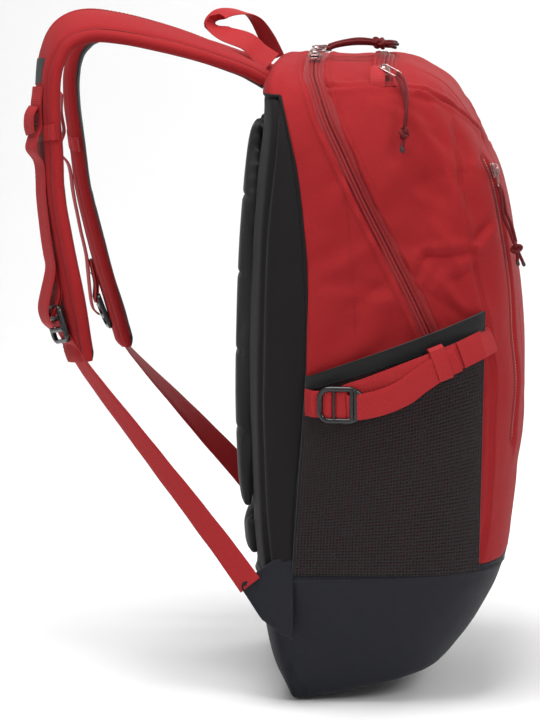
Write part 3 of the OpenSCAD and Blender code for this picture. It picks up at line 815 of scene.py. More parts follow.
def cloth_relief(p, h):
    """How far the cloth stands off the smooth surface: slack, wrinkles, seams and the front pocket."""
    x, y, z = p[..., 0], p[..., 1], p[..., 2]
    side = ramp(np.abs(x), 100, 135)
    front = ramp(-y, 60, 85) * (1 - side)
    crown = ramp(h, 478, 492)
    d = 2.6 * noise(p, (120, 70, 95), 1) + 1.5 * noise(p, (60, 34, 40), 2)
    slant = np.stack([x, y * 0.8 + z * 0.55, z * 0.8 - y * 0.55], -1)
    d += side * (1 - crown) * 1.2 * noise(slant, (60, 16, 60), 3)
    # Soft folds run down and forwards from the lid's seam and the zip, sharpest near the front edge.
    for i, (fy, fh, lean, width, depth) in enumerate(FOLDS):
        run = (y - fy) * math.cos(lean) + (h - fh) * math.sin(lean)
        off = (h - fh) * math.cos(lean) - (y - fy) * math.sin(lean)
        off = off + 3.0 * noise(p, (30, 22, 22), 40 + i)
        d += side * depth * (bump(off, width) - 0.8 * bump(off - 1.7 * width, width)) * bump(run, 26)
    d += 0.6 * noise(p, (22, 14, 14), 4) * (1 - 0.6 * front)
    # Puckers die out within a few centimetres of the seams.
    edge = np.abs(y - EDGE_Y(h))
    zip_gap = np.abs(y - ZIP_Y(h)) * 0.88
    lid = line_gap(p, LID_SEAM)
    boot = np.abs(h - BOOT_H)
    rear = np.abs(y - SEAM_Y(h)) * ramp(np.abs(x), 60, 110)
    rear = np.where(np.abs(x) > 60, rear, 99)
    pucker = bump(lid, 16) * 0.9 + bump(boot, 14) * 0.8 + bump(edge, 10) * 0.55 + bump(zip_gap - 8,
        9) * 0.45
    d += pucker * noise(p, (9, 7, 9), 5)
    d -= 2.2 * bump(lid, 1.7) - 1.3 * bump(lid - 4.2, 2.8)
    d -= 1.1 * bump(edge, 1.6) * ramp(441 - h, 0, 12) - 0.55 * bump(edge - 4, 2.4) * ramp(441 - h, 0, 12)
    d -= 1.2 * bump(boot, 2.2)
    # The folded cloth beside the main zip is a raised welt that turns under at the tape.
    d += (
        1.0 * bump(zip_gap - 9.2, 2.6) * ramp(h, 255, 285)
        - 0.9 * ramp(8.0 - zip_gap, 0, 1.5) * ramp(h, 285, 292)
    )
    d -= 1.4 * ramp(1.8 - rear, 0, 1.8) * (1 - crown)
    # The hollow of the side between the lid's seam and the front, and the front pocket's soft body
    d -= side * 4.2 * bump(h - 405, 42) * bump(y + 52, 17)
    d += side * 1.3 * bump(h - 380, 70) * bump(y - 12, 32)
    left = x + 92
    pocket = ramp(h, 178, 205) * ramp(428 - h, 0, 16) * front
    d += pocket * 1.9 * ramp(left, 3.6, 7.5) * ramp(104 - x, 0, 14)
    d -= front * 1.9 * bump(left, 4.2) * ramp(h, 196, 204) * ramp(424 - h, 0, 5)
    left_of = EDGE_Y(h) + 3 * noise(p, (50, 50, 26), 39) - y
    hollow = ramp(left_of, -2, 4) * (1 - ramp(left_of, 7, 24)) * ramp(h, 296, 330) * ramp(452 - h, 0, 20)
    d += ramp(np.abs(x), 85, 120) * (creases(y, h) - 3.2 * hollow)
    # Under the mesh pockets the cloth lies flat.
    covered = side * ramp(hem_z(y) - h, -4, 10) * ramp(y + 96, 0, 8) * ramp(56 - y, 0, 6)
    return d - covered * np.maximum(d - 0.2, 0)


def body_points(h, angle):
    p = skin(h, angle)
    n = skin_normal(h, angle)
    return p + n * cloth_relief(p, h)[..., None], n


def to_ridge(p, n, top):
    """Carries the last row, at height top, in to the crown's ridge, where the two sides meet."""
    if top < CROWN_TOP:
        return p, n
    return np.concatenate([p, p[-1:] * [0, 1, 1] + [0, 0, 0.02]]), np.concatenate([n, n[-1:]])


def panel_part(hs, start, end, cols, t=1.5):
    angles = np.stack([even_angles(h, float(start(h)), float(end(h)), cols) for h in hs])
    h = np.broadcast_to(hs[:, None], angles.shape)
    return shell(*to_ridge(*body_points(h, angles), hs[-1]), t)


def off_zip(gap):
    return lambda h: angle_of(h, ZIP_Y(h) + gap)


def flip(f):
    return lambda h: -f(h)


def fixed(v):
    return lambda h: v


low = even_heights(BOOT_H, FOLD, 2.4)
high = rows_to_crown(FOLD, 2.4, 2.0)
add("body_cloth", [panel_part(low, fixed(-90), fixed(90), 330)], [red_cloth, lining], "pack",
    ["front_panel", "side_panel_left", "side_panel_right"])
flap_part = panel_part(high, flip(off_zip(-TAPE_W)), off_zip(-TAPE_W), 250, 2.6)
add("flap_cloth", [flap_part], [red_cloth, lining], "flap",
    ["flap_front", "flap_side_left", "flap_side_right", "flap_top"], FOLD_BLEND)
side_rows = even_heights(FOLD, YOKE_H, 2.2)
yoke_side = panel_part(side_rows, off_zip(TAPE_W), fixed(90), 60)
top_rows = rows_to_crown(YOKE_H, 3.0, 2.6)
zip_back = off_zip(TAPE_W)
yoke_top = panel_part(top_rows, zip_back, lambda h: 360 - zip_back(h), 120)
add("yoke_cloth", [yoke_side, mirror(yoke_side), yoke_top], [red_cloth, lining], "pack",
    ["side_yoke_left", "side_yoke_right", "back_yoke"])

# ---- Boot and back ----


def boot_relief(p, h):
    d = 1.5 * noise(p, (90, 60, 60), 11) + 0.9 * noise(p, (30, 24, 22), 12)
    d += 0.4 * noise(p, (9, 8, 12), 13) * (bump(BOOT_H - h, 18) + bump(h, 16))
    d -= 1.1 * bump(BOOT_H - h, 2.0) - 0.7 * bump(BOOT_H - h - 5, 3)
    side = ramp(np.abs(p[..., 0]), 60, 100)
    d -= side * 1.3 * bump(p[..., 1] - REAR_Y(h) + 15, 1.6) + side * 1.2 * bump(p[..., 1] - SEAM_Y(h), 1.8)
    return d


turn = 420
boot_rows = [(0, 60), (0, 40), (0, 24), (0, 14), (0, 7), (0.2, 3.8), (1.1, 1.8), (2.8, 0.7), (6, 0.1),
    (11, 0)]
boot_rows += [(h, 0) for h in even_heights(16, BOOT_H, 2.6)]
ring_angles = np.sort(np.interp(np.linspace(0, 1, turn, endpoint=False), np.linspace(0, 1, 721),
    even_angles(50, -180, 180, 720)))
outer = []
for h, d in boot_rows:
    a = ring_angles
    p = skin(h, a, min(d, 14))
    if d > 14:
        middle = np.array([0, 2, 0])
        k = 1 - (d - 14) / 60
        flat = p * [k, k, 1] + middle * [1 - k, 1 - k, 0]
        flat[:, 2] = (56 - flat[:, 1]) * SLOPE
        p = flat
    n = skin_normal(np.full(turn, max(h, 16)), a)
    n = unit(n + [0, 0, -1.5 * ramp(d, 0, 8)]) if d else n
    outer.append(p + n * (boot_relief(p, h) * ramp(14 - d, 0, 12))[:, None])
inner = []
for h in (BOOT_H, 80, 50, 25, 12):
    inner.append(skin(h, ring_angles, 2.2 if h > 20 else 7) + [0, 0, 0 if h > 20 else -3])
add("boot_cloth", [ring_part(np.array(outer + inner)[:, ::-1])], [boot_cloth], "pack",
    ["boot"])


def back_relief(p, h):
    x, y = p[..., 0], p[..., 1]
    d = 1.4 * noise(p, (80, 60, 110), 21) + 0.7 * noise(p, (26, 26, 34), 22)
    side = ramp(np.abs(x), 118, 134)
    seam = y - REAR_Y(h) + 15
    d -= side * 2.2 * bump(seam, 1.8) - side * 1.1 * bump(seam + 4.5, 3.2) - side * 0.7 * bump(seam - 4.5,
        3)
    d += side * 0.8 * noise(p, (40, 10, 60), 24)
    d -= (1 - side) * 0.6 * np.maximum(d, 0)
    d += 0.3 * noise(p, (8, 8, 9), 23) * (bump(h - BOOT_H, 14) + bump(YOKE_H - h, 14))
    d -= 1.2 * bump(h - BOOT_H, 2.2) + 1.2 * bump(h - YOKE_H, 2.2)
    rear = np.abs(y - SEAM_Y(h))
    d -= 1.4 * ramp(1.8 - rear, 0, 1.8)
    return d


back_rows = even_heights(BOOT_H, YOKE_H, 4)
angles = np.stack([even_angles(h, 90, 270, 240) for h in back_rows])
hh = np.broadcast_to(back_rows[:, None], angles.shape)
p, n = skin(hh, angles), skin_normal(hh, angles)
add("back_cloth", [shell(p + n * back_relief(p, hh)[..., None], n, 3.0, 0, 1)], [grey_cloth, lining],
    "pack", ["back_panel"])

# ---- Zips ----


def tape_part(points_at, offs, heights, rows, slot=0):
    """A ribbon beside a zip's line: points_at(row, offset) gives surface points and normals there."""
    p, n = to_ridge(*points_at(rows[:, None], np.array(offs)[None, :]), rows[-1])
    outer = p + n * np.array(heights)[None, :, None]
    return shell(outer, n, 0.7, slot, slot)


def slack(p):
    return 2.6 * noise(p, (120, 70, 95), 1) + 1.5 * noise(p, (60, 34, 40), 2)


def on_zip(y_line, lift=0.0):
    def at(h, off):
        h, off = np.broadcast_arrays(h, off)
        a = angle_of(h, y_line(h) + off)
        p, n = skin(h, a), skin_normal(h, a)
        mid = skin(h, angle_of(h, y_line(h)))
        return p + n * (slack(mid) + lift)[..., None], n

    return at


RIB_OFF = [0.15, 0.5, 0.9, 2.3, 2.7, 3.1, 3.5, 5.2, 5.6, 6.0, 6.5, 9.0]
RIB_UP = [-0.5, 0.55, 0.9, 0.95, 0.3, 0.2, 0.65, 0.7, 0.25, 0.1, 0.1, -0.4]
zip_rows = rows_to_crown(281, 2.6, 2.2)
at = on_zip(ZIP_Y, -0.2)
rear_half = tape_part(at, RIB_OFF, RIB_UP, zip_rows)
front_half = tape_part(at, [-v for v in RIB_OFF], RIB_UP, zip_rows)
# The dark strips in the middle are painted shade in the zip's slit.
slit = tape_part(at, [0.05, 0.3, 0.5], [-0.3, -0.2, -0.4], zip_rows, 1)
add("main_zip_pack_half", [rear_half, mirror(rear_half), slit, mirror(slit)], [zip_cloth, slit_shade],
    "pack", ["zip_tape_left", "zip_tape_right"])
slit = tape_part(at, [-0.5, -0.3, -0.05], [-0.4, -0.2, -0.3], zip_rows, 1)
add("main_zip_flap_half", [front_half, mirror(front_half), slit, mirror(slit)], [zip_cloth, slit_shade],
    "flap", ["flap_tape_left", "flap_tape_right"], FOLD_BLEND)

TOP_ZIP_Y = -10
top_rows = rows_to_crown(474.5, 2.4, 2.2)
at = on_zip(lambda h: np.full(np.shape(h), TOP_ZIP_Y), 1.0)
half = [tape_part(at, [k * v for v in RIB_OFF[:-1]], RIB_UP[:-1], top_rows) for k in (-1, 1)]
# A dark strip in the middle is painted shade in the zip's slit.
half.append(tape_part(at, [-0.4, 0, 0.4], [-0.3, -0.1, -0.3], top_rows, 1))
welt = [tape_part(at, [k * v for v in (6.2, 6.8, 8.2, 9.4, 10)], [-0.8, 0.9, 1.0, 0.3, -1.4], top_rows, 2)
    for k in (-1, 1)]
parts = half + welt
add("top_pocket_zip_tape", parts + [mirror(q) for q in parts], [zip_cloth, slit_shade, red_cloth], "flap",
    ["top_pocket_zip"])

FRONT_ZIP_X = 92


def on_front_zip(h, off):
    h, off = np.broadcast_arrays(h, off)
    a = angle_at_x(h, FRONT_ZIP_X - off)
    p, n = skin(h, a), skin_normal(h, a)
    return p + n * (slack(skin(h, angle_at_x(h, FRONT_ZIP_X))) - 1.5)[..., None], n


front_rows = even_heights(203, 421, 2.4)
offs = [0.2, 0.6, 1.6, 2.0, 4.6]
ups = [-0.2, 0.9, 0.9, 0.4, 0.2]
parts = [tape_part(on_front_zip, [k * v for v in offs], ups, front_rows) for k in (-1, 1)]
# A dark strip in the middle is painted shade in the zip's slit.
parts.append(tape_part(on_front_zip, [-0.5, 0, 0.5], [-0.3, 0.1, -0.3], front_rows, 1))
line_h = np.arange(206, 419, 1.0)
p, n = on_front_zip(line_h, 3.0)
# The row of pale bumps beside the zip is painted highlight on the coil's teeth.
parts.append(stitch_parts(p + n * 0.3, n, 2.3, 1.3, 0.42, 2))
add("front_pocket_zip_tape", parts, [zip_cloth, slit_shade, coil_highlight], "flap",
    ["front_pocket_zip", "front_pocket_zip_end"], FOLD_BLEND)

# ---- Seam thread ----


def cloth_line(h, angle):
    return body_points(np.asarray(h, float), np.asarray(angle, float))


def both_sides(parts):
    return parts + [mirror(q) for q in parts]


h = np.concatenate([np.linspace(292, 484, 160), np.linspace(484.2, 495.8, 60)])
p, n = cloth_line(h, off_zip(12.2)(h))
q, m = cloth_line(h, off_zip(-12.2)(h))
edge_h = np.linspace(108, 432, 200)
e, f = cloth_line(edge_h, angle_of(edge_h, EDGE_Y(edge_h) - 3.4))
side_seam, side_n = cloth_line(np.linspace(292, 466, 120), 87.5)
add("yoke_stitching", both_sides([stitch_parts(p, n), stitch_parts(side_seam, side_n)]), [thread], "pack")
add("flap_stitching", both_sides([stitch_parts(q, m), stitch_parts(e, f)]), [thread], "flap",
    (), FOLD_BLEND)
a = np.concatenate([even_angles(BOOT_H + 4, -180, 180, 300)])
p, n = skin(BOOT_H - 4.5, a), skin_normal(np.full(len(a), BOOT_H - 4.5), a)
p = p + n * (boot_relief(p, BOOT_H - 4.5) + 0.1)[:, None]
seam_ring = skin(BOOT_H, a) - skin_normal(np.full(len(a), float(BOOT_H)), a) * 0.9
add("boot_stitching", [stitch_parts(p, n)], [thread_dark], "pack")
add("boot_seam_piping", [tube_part(seam_ring[:-1], 1.3, 8, 0, closed=True)], [boot_cloth], "pack")
h = np.linspace(BOOT_H, YOKE_H, 200)
rear_line = skin(h, 90) - skin_normal(h, np.full(len(h), 90.0)) * 0.8
across_a = even_angles(YOKE_H, 90, 270, 140)
across_line = skin(YOKE_H, across_a) - skin_normal(np.full(len(across_a), float(YOKE_H)), across_a) * 0.8
add("back_seam_piping", both_sides([tube_part(rear_line, 1.35, 8)]) + [tube_part(across_line, 1.35, 8)],
    [grey_cloth], "pack")

# ---- Side pockets ----


def pocket_grid(v0, v1, rows, cols, extra):
    v, u = np.meshgrid(np.linspace(v0, v1, rows), np.linspace(0.01, 1.0, cols), indexing="ij")
    y = -89 + 3 * (1 - v) + (134 + 8 * (1 - v)) * u
    h = BOOT_H + (hem_z(y) - BOOT_H) * v
    stand = 1.0 + 11 * np.sin(np.pi * np.minimum(u, 0.999)) ** 0.5 * np.sin(np.pi / 2 * v) ** 0.7
    p = skin(h, angle_of(h, y), -stand - extra)
    p = np.stack([p[..., 0], y, h], -1)
    ripple = 0.9 * noise(p, (60, 30, 26), 31) + 0.45 * noise(p, (20, 9, 30), 32) * bump(v - 1, 0.25)
    fall = np.minimum(1, 6 * np.minimum(u, 1 - u)) * np.minimum(1, 6 * v)
    p[..., 0] -= ripple * fall
    return p


def sheet_normal(p):
    n = unit(np.cross(np.gradient(p, axis=1), np.gradient(p, axis=0)))
    return -n if n[..., 0].mean() > 0 else n


for right, side in SIDES:
    turned = mirror if right else same
    g = pocket_grid(0.0, 0.945, 60, 52, 1.0)
    net = shell(g, sheet_normal(g), 0.8, 0, 0)
    net_piece = add(f"pocket_net_{side}", [turned(net)], [pocket_mesh], "pack",
        [f"mesh_pocket_{side}"])
    g = pocket_grid(0.93, 1.0, 5, 60, 2.2)
    g[2] += sheet_normal(g)[2] * 0.9
    hem = [shell(g, sheet_normal(g), 2.6, 0, 0)]
    n = sheet_normal(g)
    hem.append(stitch_parts(g[0] + n[0] * 0.3, n[0], 2.6, 1.7, 0.3, 0))
    add(f"pocket_binding_{side}", [turned(q) for q in hem], [binding], "pack",
        [f"pocket_hem_{side}"])
    g = pocket_grid(0.0, 1.0, 60, 60, 0.9)
    ends = [tube_part(g[:, 0] + [0.6, 0, 0], 0.7, 8), tube_part(g[:, -1] + [0.6, 0, 0], 0.9, 8)]
    add(f"pocket_edges_{side}", [turned(q) for q in ends], [binding], "pack")

# ---- Buckles ----


def rounded(w, h, r, steps=10, at=(0.0, 0.0)):
    pts = []
    for k, (sx, sy) in enumerate(((1, 1), (-1, 1), (-1, -1), (1, -1))):
        for t in np.linspace(0, math.pi / 2, steps):
            a = t + k * math.pi / 2
            pts.append((at[0] + sx * (w / 2 - r) + r * math.cos(a),
                at[1] + sy * (h / 2 - r) + r * math.sin(a)))
    return pts


def basis(x, y, z, at):
    m = np.eye(4)
    m[:3, 0], m[:3, 1], m[:3, 2], m[:3, 3] = x, y, z, at
    return m


def stretch_basis(a, b, share, across):
    a, b = np.array(a, float), np.array(b, float)
    way = unit(b - a)
    side = unit(np.array(across, float) - (np.array(across, float) @ way) * way)
    return basis(side, way, np.cross(side, way), a + (b - a) * share)


def transform(part, m):
    p, faces, uv, slot = part
    p = np.asarray(p).reshape(-1, 3)
    return p @ m[:3, :3].T + m[:3, 3], faces, uv, slot


def buckle_part(w, h, t, corner, bow=0.006):
    """A moulded three-bar buckle: a rounded frame, with round bars between its slots."""
    data = bpy.data.curves.new("outline", "CURVE")
    data.dimensions, data.fill_mode = "2D", "BOTH"
    data.bevel_depth, data.bevel_resolution = 0.75, 3
    data.extrude = t / 2 - 0.75
    slot = w / 5.2
    outlines = [rounded(w - 1.5, h - 1.5, corner)]
    outlines += [rounded(slot + 1.5, h - 6.5, 2.2, 6, (x * w / 3.3, 0)) for x in (-1, 0, 1)]
    for pts in outlines:
        s = data.splines.new("POLY")
        s.points.add(len(pts) - 1)
        for q, (x, y) in zip(s.points, pts):
            q.co = (x, y, 0, 1)
        s.use_cyclic_u = True
    obj = bpy.data.objects.new("outline", data)
    bpy.context.scene.collection.objects.link(obj)
    dg = bpy.context.evaluated_depsgraph_get()
    me = obj.evaluated_get(dg).to_mesh()
    p = np.array([v.co for v in me.vertices], float)
    faces = [np.array([list(f.vertices)]) for f in me.polygons]
    bpy.data.objects.remove(obj)
    bpy.data.curves.remove(data)
    p[:, 2] -= bow * (p[:, 0] ** 2) - 0.4
    parts = [(p, faces, p[:, :2], 0)]
    for x in (-w / 6.6, w / 6.6):
        line = np.stack([np.full(9, x), np.linspace(-h / 2 + 3, h / 2 - 3, 9), np.full(9, 0.7)], 1)
        parts.append(tube_part(line, 1.7, 12))
    lip = [(-w / 2 + 2, y, 1.0 + 0.5 * math.cos(y / h * math.pi))
        for y in np.linspace(-h / 2 + 5, h / 2 - 5, 12)]
    parts.append(tube_part(np.array(lip), [0.7] + [1.3] * 10 + [0.7], 10))
    return parts


def strap_buckle():
    """The side strap's buckle: a round-ended frame with a thin bar and a wide bar across it."""
    line = [(x, y, 0.4 - 0.005 * x * x) for x, y in rounded(33, 24, 7, 10) if x > 0]
    line += [(x, y, 0.4 - 0.005 * x * x) for x, y in rounded(33, 24, 11.9, 14) if x <= 0]
    line.sort(key=lambda q: math.atan2(q[1], q[0]))
    frame = tube_part(even(np.array(line + line[:1]), 1.2)[:-1], 2.1, 12, 0, closed=True)
    bars = [tube_part(np.array([[x, -11.5, 0.9], [x, 0, 1.3], [x, 11.5, 0.9]]), r, 10)
        for x, r in ((5.9, 0.95), (-7.4, 1.7), (-10.2, 1.5))]
    return [frame] + bars


def sharpen(obj, angle=38):
    obj.data.set_sharp_from_angle(angle=math.radians(angle))
    return obj


# ---- Compression straps ----

WEB_W, WEB_T = 20, 1.6
SIDE_OUT, LATCH_Z, WEB_SIDE = -158.5, 240, (0, 0.35, 1)
COMPRESSION = [
    [SIDE_OUT - 1.5, 12, 246], [SIDE_OUT - 1.5, 0, 250], [SIDE_OUT - 3.5, -20, 258],
    [SIDE_OUT - 3.3, -40, 266],
    [SIDE_OUT + 6.7, -70, 277], [SIDE_OUT + 24, -86, 283], [SIDE_OUT + 38, -94, 286],
]
for right, side in SIDES:
    turned = mirror if right else same
    web = spline([[SIDE_OUT - 2, 16, 243]] + COMPRESSION, 1.5)
    parts = [strip_part(web, WEB_W, WEB_T, WEB_SIDE, ripple=0.35, seed=4)]
    loose = spline([[SIDE_OUT - 4.2, 14, 238], [SIDE_OUT - 5.2, 4, 239], [SIDE_OUT - 7, -12, 243],
        [SIDE_OUT - 6.2, -28, 250], [SIDE_OUT - 4.6, -40, 259], [SIDE_OUT - 1.0, -54, 268],
        [SIDE_OUT + 4.5, -68, 274.5]], 1.5)
    parts.append(strip_part(loose, WEB_W - 0.6, WEB_T, (0, 0.25, 1), ripple=0.5, seed=6))
    doubled = even(np.array([COMPRESSION[4], COMPRESSION[5], COMPRESSION[6]], float) + [-1.9, 0, 0], 1.5)
    parts.append(strip_part(doubled, WEB_W + 0.4, WEB_T, WEB_SIDE, ripple=0.2, seed=8))
    add(f"compression_webbing_{side}", [turned(q) for q in parts], [red_web], "pack",
        [f"compression_web_{side}"])
    stub = spline([[-147, 46, LATCH_Z], [-151, 44.5, LATCH_Z], [SIDE_OUT + 0.5, 40, LATCH_Z],
        [SIDE_OUT - 0.6, 35, LATCH_Z], [SIDE_OUT - 3.4, 29, LATCH_Z], [SIDE_OUT - 3.2, 25.4, LATCH_Z],
        [SIDE_OUT - 2.2, 23.9, LATCH_Z], [SIDE_OUT - 3.3, 22, LATCH_Z], [SIDE_OUT - 3.4, 15, LATCH_Z],
        [SIDE_OUT - 0.8, 11, LATCH_Z], [SIDE_OUT - 0.4, 2, LATCH_Z + 1]], 1.0)
    parts = [strip_part(stub, WEB_W, WEB_T, (0, 0, 1), ripple=0.25, seed=5)]
    parts.append(stitch_parts(np.array([[-154.6, 45.5, z] for z in np.linspace(231, 249, 12)])
        + [-1.0, 0, 0], np.array([[-0.8, 0.6, 0]] * 12), 2.4, 1.6, 0.3, 0))
    add(f"compression_stub_web_{side}", [turned(q) for q in parts], [red_web], "pack",
        [f"compression_stub_{side}"])
    m = basis((0, 1, 0), (0, 0, -1), (-1, 0, 0), (SIDE_OUT - 4, 18, LATCH_Z))
    piece = make(f"compression_lock_{side}", [turned(transform(q, m)) for q in strap_buckle()],
        [black_plastic])
    done(sharpen(piece), "pack", [f"compression_buckle_{side}"])
    # The keeper is a loop of webbing round the two layers.
    m = stretch_basis(COMPRESSION[3], COMPRESSION[4], 0.5, WEB_SIDE)
    loop = np.array(rounded(WEB_W + 4.6, 5.6, 2.6, 8))
    rings = []
    for x, z in loop:
        out = np.array([np.sign(x) * max(0, abs(x) - 8) / 5, z / 2.8])
        out = out / max(1e-6, np.linalg.norm(out))
        rings.append([(x + out[0] * d, y, z + out[1] * d)
            for y, d in ((-6, 0), (-5.6, 1.1), (5.6, 1.1), (6, 0), (5.6, -0.2), (-5.6, -0.2))])
    keeper = transform(ring_part(np.array(rings), 0, True), m)
    add(f"keeper_loop_{side}", [turned(keeper)], [red_web], f"keeper_ring_{side}",
        [f"keeper_{side}"])

# ---- Lower wings ----

for right, side in SIDES:
    turned = mirror if right else same
    s = np.linspace(0, 1, 26)
    y = 56 + 39 * s
    top = np.interp(y, [56, 59, 78, 93, 95], [126, 124, 111, 99.5, 98])
    low_edge = np.interp(y, [56, 64, 80, 93, 95], [54, 58, 70, 90.5, 93])
    rings = []
    for k in range(len(s)):
        t = np.linspace(0, 2 * math.pi, 40, endpoint=False)
        half, mid = (top[k] - low_edge[k]) / 2, (top[k] + low_edge[k]) / 2
        thick = 3.3 - 1.2 * s[k]
        z = mid + half * np.sign(np.sin(t)) * np.abs(np.sin(t)) ** 0.35
        x = -137 + 1.6 * (1 - s[k]) ** 2 + thick * np.sign(np.cos(t)) * np.abs(np.cos(t)) ** 0.6
        q = np.stack([x, np.full(40, y[k]), z], 1)
        q[:, 0] += np.sign(np.cos(t)) * (0.8 * noise(q, (30, 14, 16), 41) - 0.7 * bump(z - top[k] + 5, 1.6)
            - 0.7 * bump(z - low_edge[k] - 5, 1.6))
        rings.append(q)
    wing = [turned(ring_part(np.array(rings)))]
    add(f"lower_wing_{side}", wing, [boot_cloth], "pack", [f"wing_{side}"])

# ---- Shoulder straps ----

STRAP = [
    [-45, 82, 476], [-46, 95, 484], [-47, 108, 490], [-49, 135, 501], [-52, 165, 510], [-55, 195, 517],
    [-58, 220, 519], [-61, 238, 511], [-64, 248, 492], [-67, 251, 465], [-71, 250, 430],
    [-75, 249, 395], [-79, 244, 360], [-82, 238, 325], [-84, 231, 290], [-85, 225, 260],
]
STRAP_STEP, STRAP_HALF, STRAP_RISE = 3.0, 32, 165
BAND_Z, PATCH_Z = 436, 481
strap_line = spline(STRAP, STRAP_STEP)
strap_side, strap_out, strap_way = frames(strap_line, (1, 0, 0), (1, 0.6, 0), (1, 0.3, 0.65))
strap_s = np.arange(len(strap_line)) * STRAP_STEP
strap_end = strap_s[-1]
widens, narrows = ramp(strap_s, 0, 60), ramp(strap_s, strap_end - 62, strap_end)
strap_half = STRAP_HALF * (0.66 + 0.34 * widens) * (1 - 0.34 * narrows)

# Outline of the strap's section: share of the half width, and height, over the top and back below
TOP_SECTION = [
    (-0.985, -3.9), (-1.0, -2.6), (-1.015, -0.6), (-0.985, 2.0), (-0.92, 3.3), (-0.84, 3.9),
    (-0.765, 3.5), (-0.735, 2.6), (-0.70, 3.6), (-0.63, 5.0), (-0.5, 5.9), (-0.3, 6.4), (0.0, 6.6),
    (0.3, 6.4), (0.5, 5.9), (0.63, 5.0), (0.70, 3.6), (0.735, 2.6), (0.765, 3.5), (0.84, 3.9),
    (0.92, 3.3), (0.985, 2.0), (1.015, -0.6), (1.0, -2.6), (0.985, -3.9), (0.9, -4.2), (0.45, -4.2),
    (0.0, -4.2), (-0.45, -4.2), (-0.9, -4.2),
]
PAD_SECTION = [
    (-0.95, -3.6), (-0.95, -4.6), (-0.88, -5.7), (-0.7, -6.3), (-0.35, -6.6), (0.0, -6.7), (0.35, -6.6),
    (0.7, -6.3), (0.88, -5.7), (0.95, -4.6), (0.95, -3.6), (0.5, -3.4), (0.0, -3.4), (-0.5, -3.4),
]
bend = np.concatenate([[0], np.linalg.norm(np.diff(strap_way, axis=0), axis=1)]) / STRAP_STEP
bend = np.convolve(bend, np.ones(9) / 9, "same")


def strap_rings(section, wrinkle, seed):
    section = np.array(section)
    x = section[:, 0][None] * strap_half[:, None]
    y = np.broadcast_to(section[:, 1][None], x.shape).copy()
    end = np.sqrt(np.clip(np.minimum((strap_end - strap_s + 0.6) / 7, 1), 0, 1))[:, None]
    y = y * (0.35 + 0.65 * end)
    s = np.broadcast_to(strap_s[:, None], x.shape)
    q = np.stack([s, x, y], -1)
    fine = noise(q, (7, 22, 12), seed + 1) * wrinkle * (0.15 + 22 * bend[:, None])
    grow = noise(q, (40, 24, 40), seed) * 0.5 + fine
    y = y + np.sign(y) * grow * ramp(np.abs(y), 1.5, 4)
    return strap_line[:, None] + strap_side[:, None] * x[..., None] + strap_out[:, None] * y[..., None]


def smoothed(section):
    """A closed section with extra points on a smooth line through it."""
    b = np.array(section, float)
    a, c, d = np.roll(b, 1, 0), np.roll(b, -1, 0), np.roll(b, -2, 0)
    return np.stack([b, (-a + 9 * b + 9 * c - d) / 16], 1).reshape(-1, 2)


def strap_row(share, up):
    return strap_line + strap_side * (share * strap_half)[:, None] + strap_out * up


def falling_row(z):
    """The row of the strap's falling part at height z."""
    return int(np.argmin(np.abs(strap_line[:, 2] - z) + 1e3 * (strap_s < STRAP_RISE)))


def strap_spot(z, aside, out):
    """A point beside the strap's falling part at height z."""
    i = falling_row(z)
    return list(strap_line[i] + strap_side[i] * aside + strap_out[i] * out)


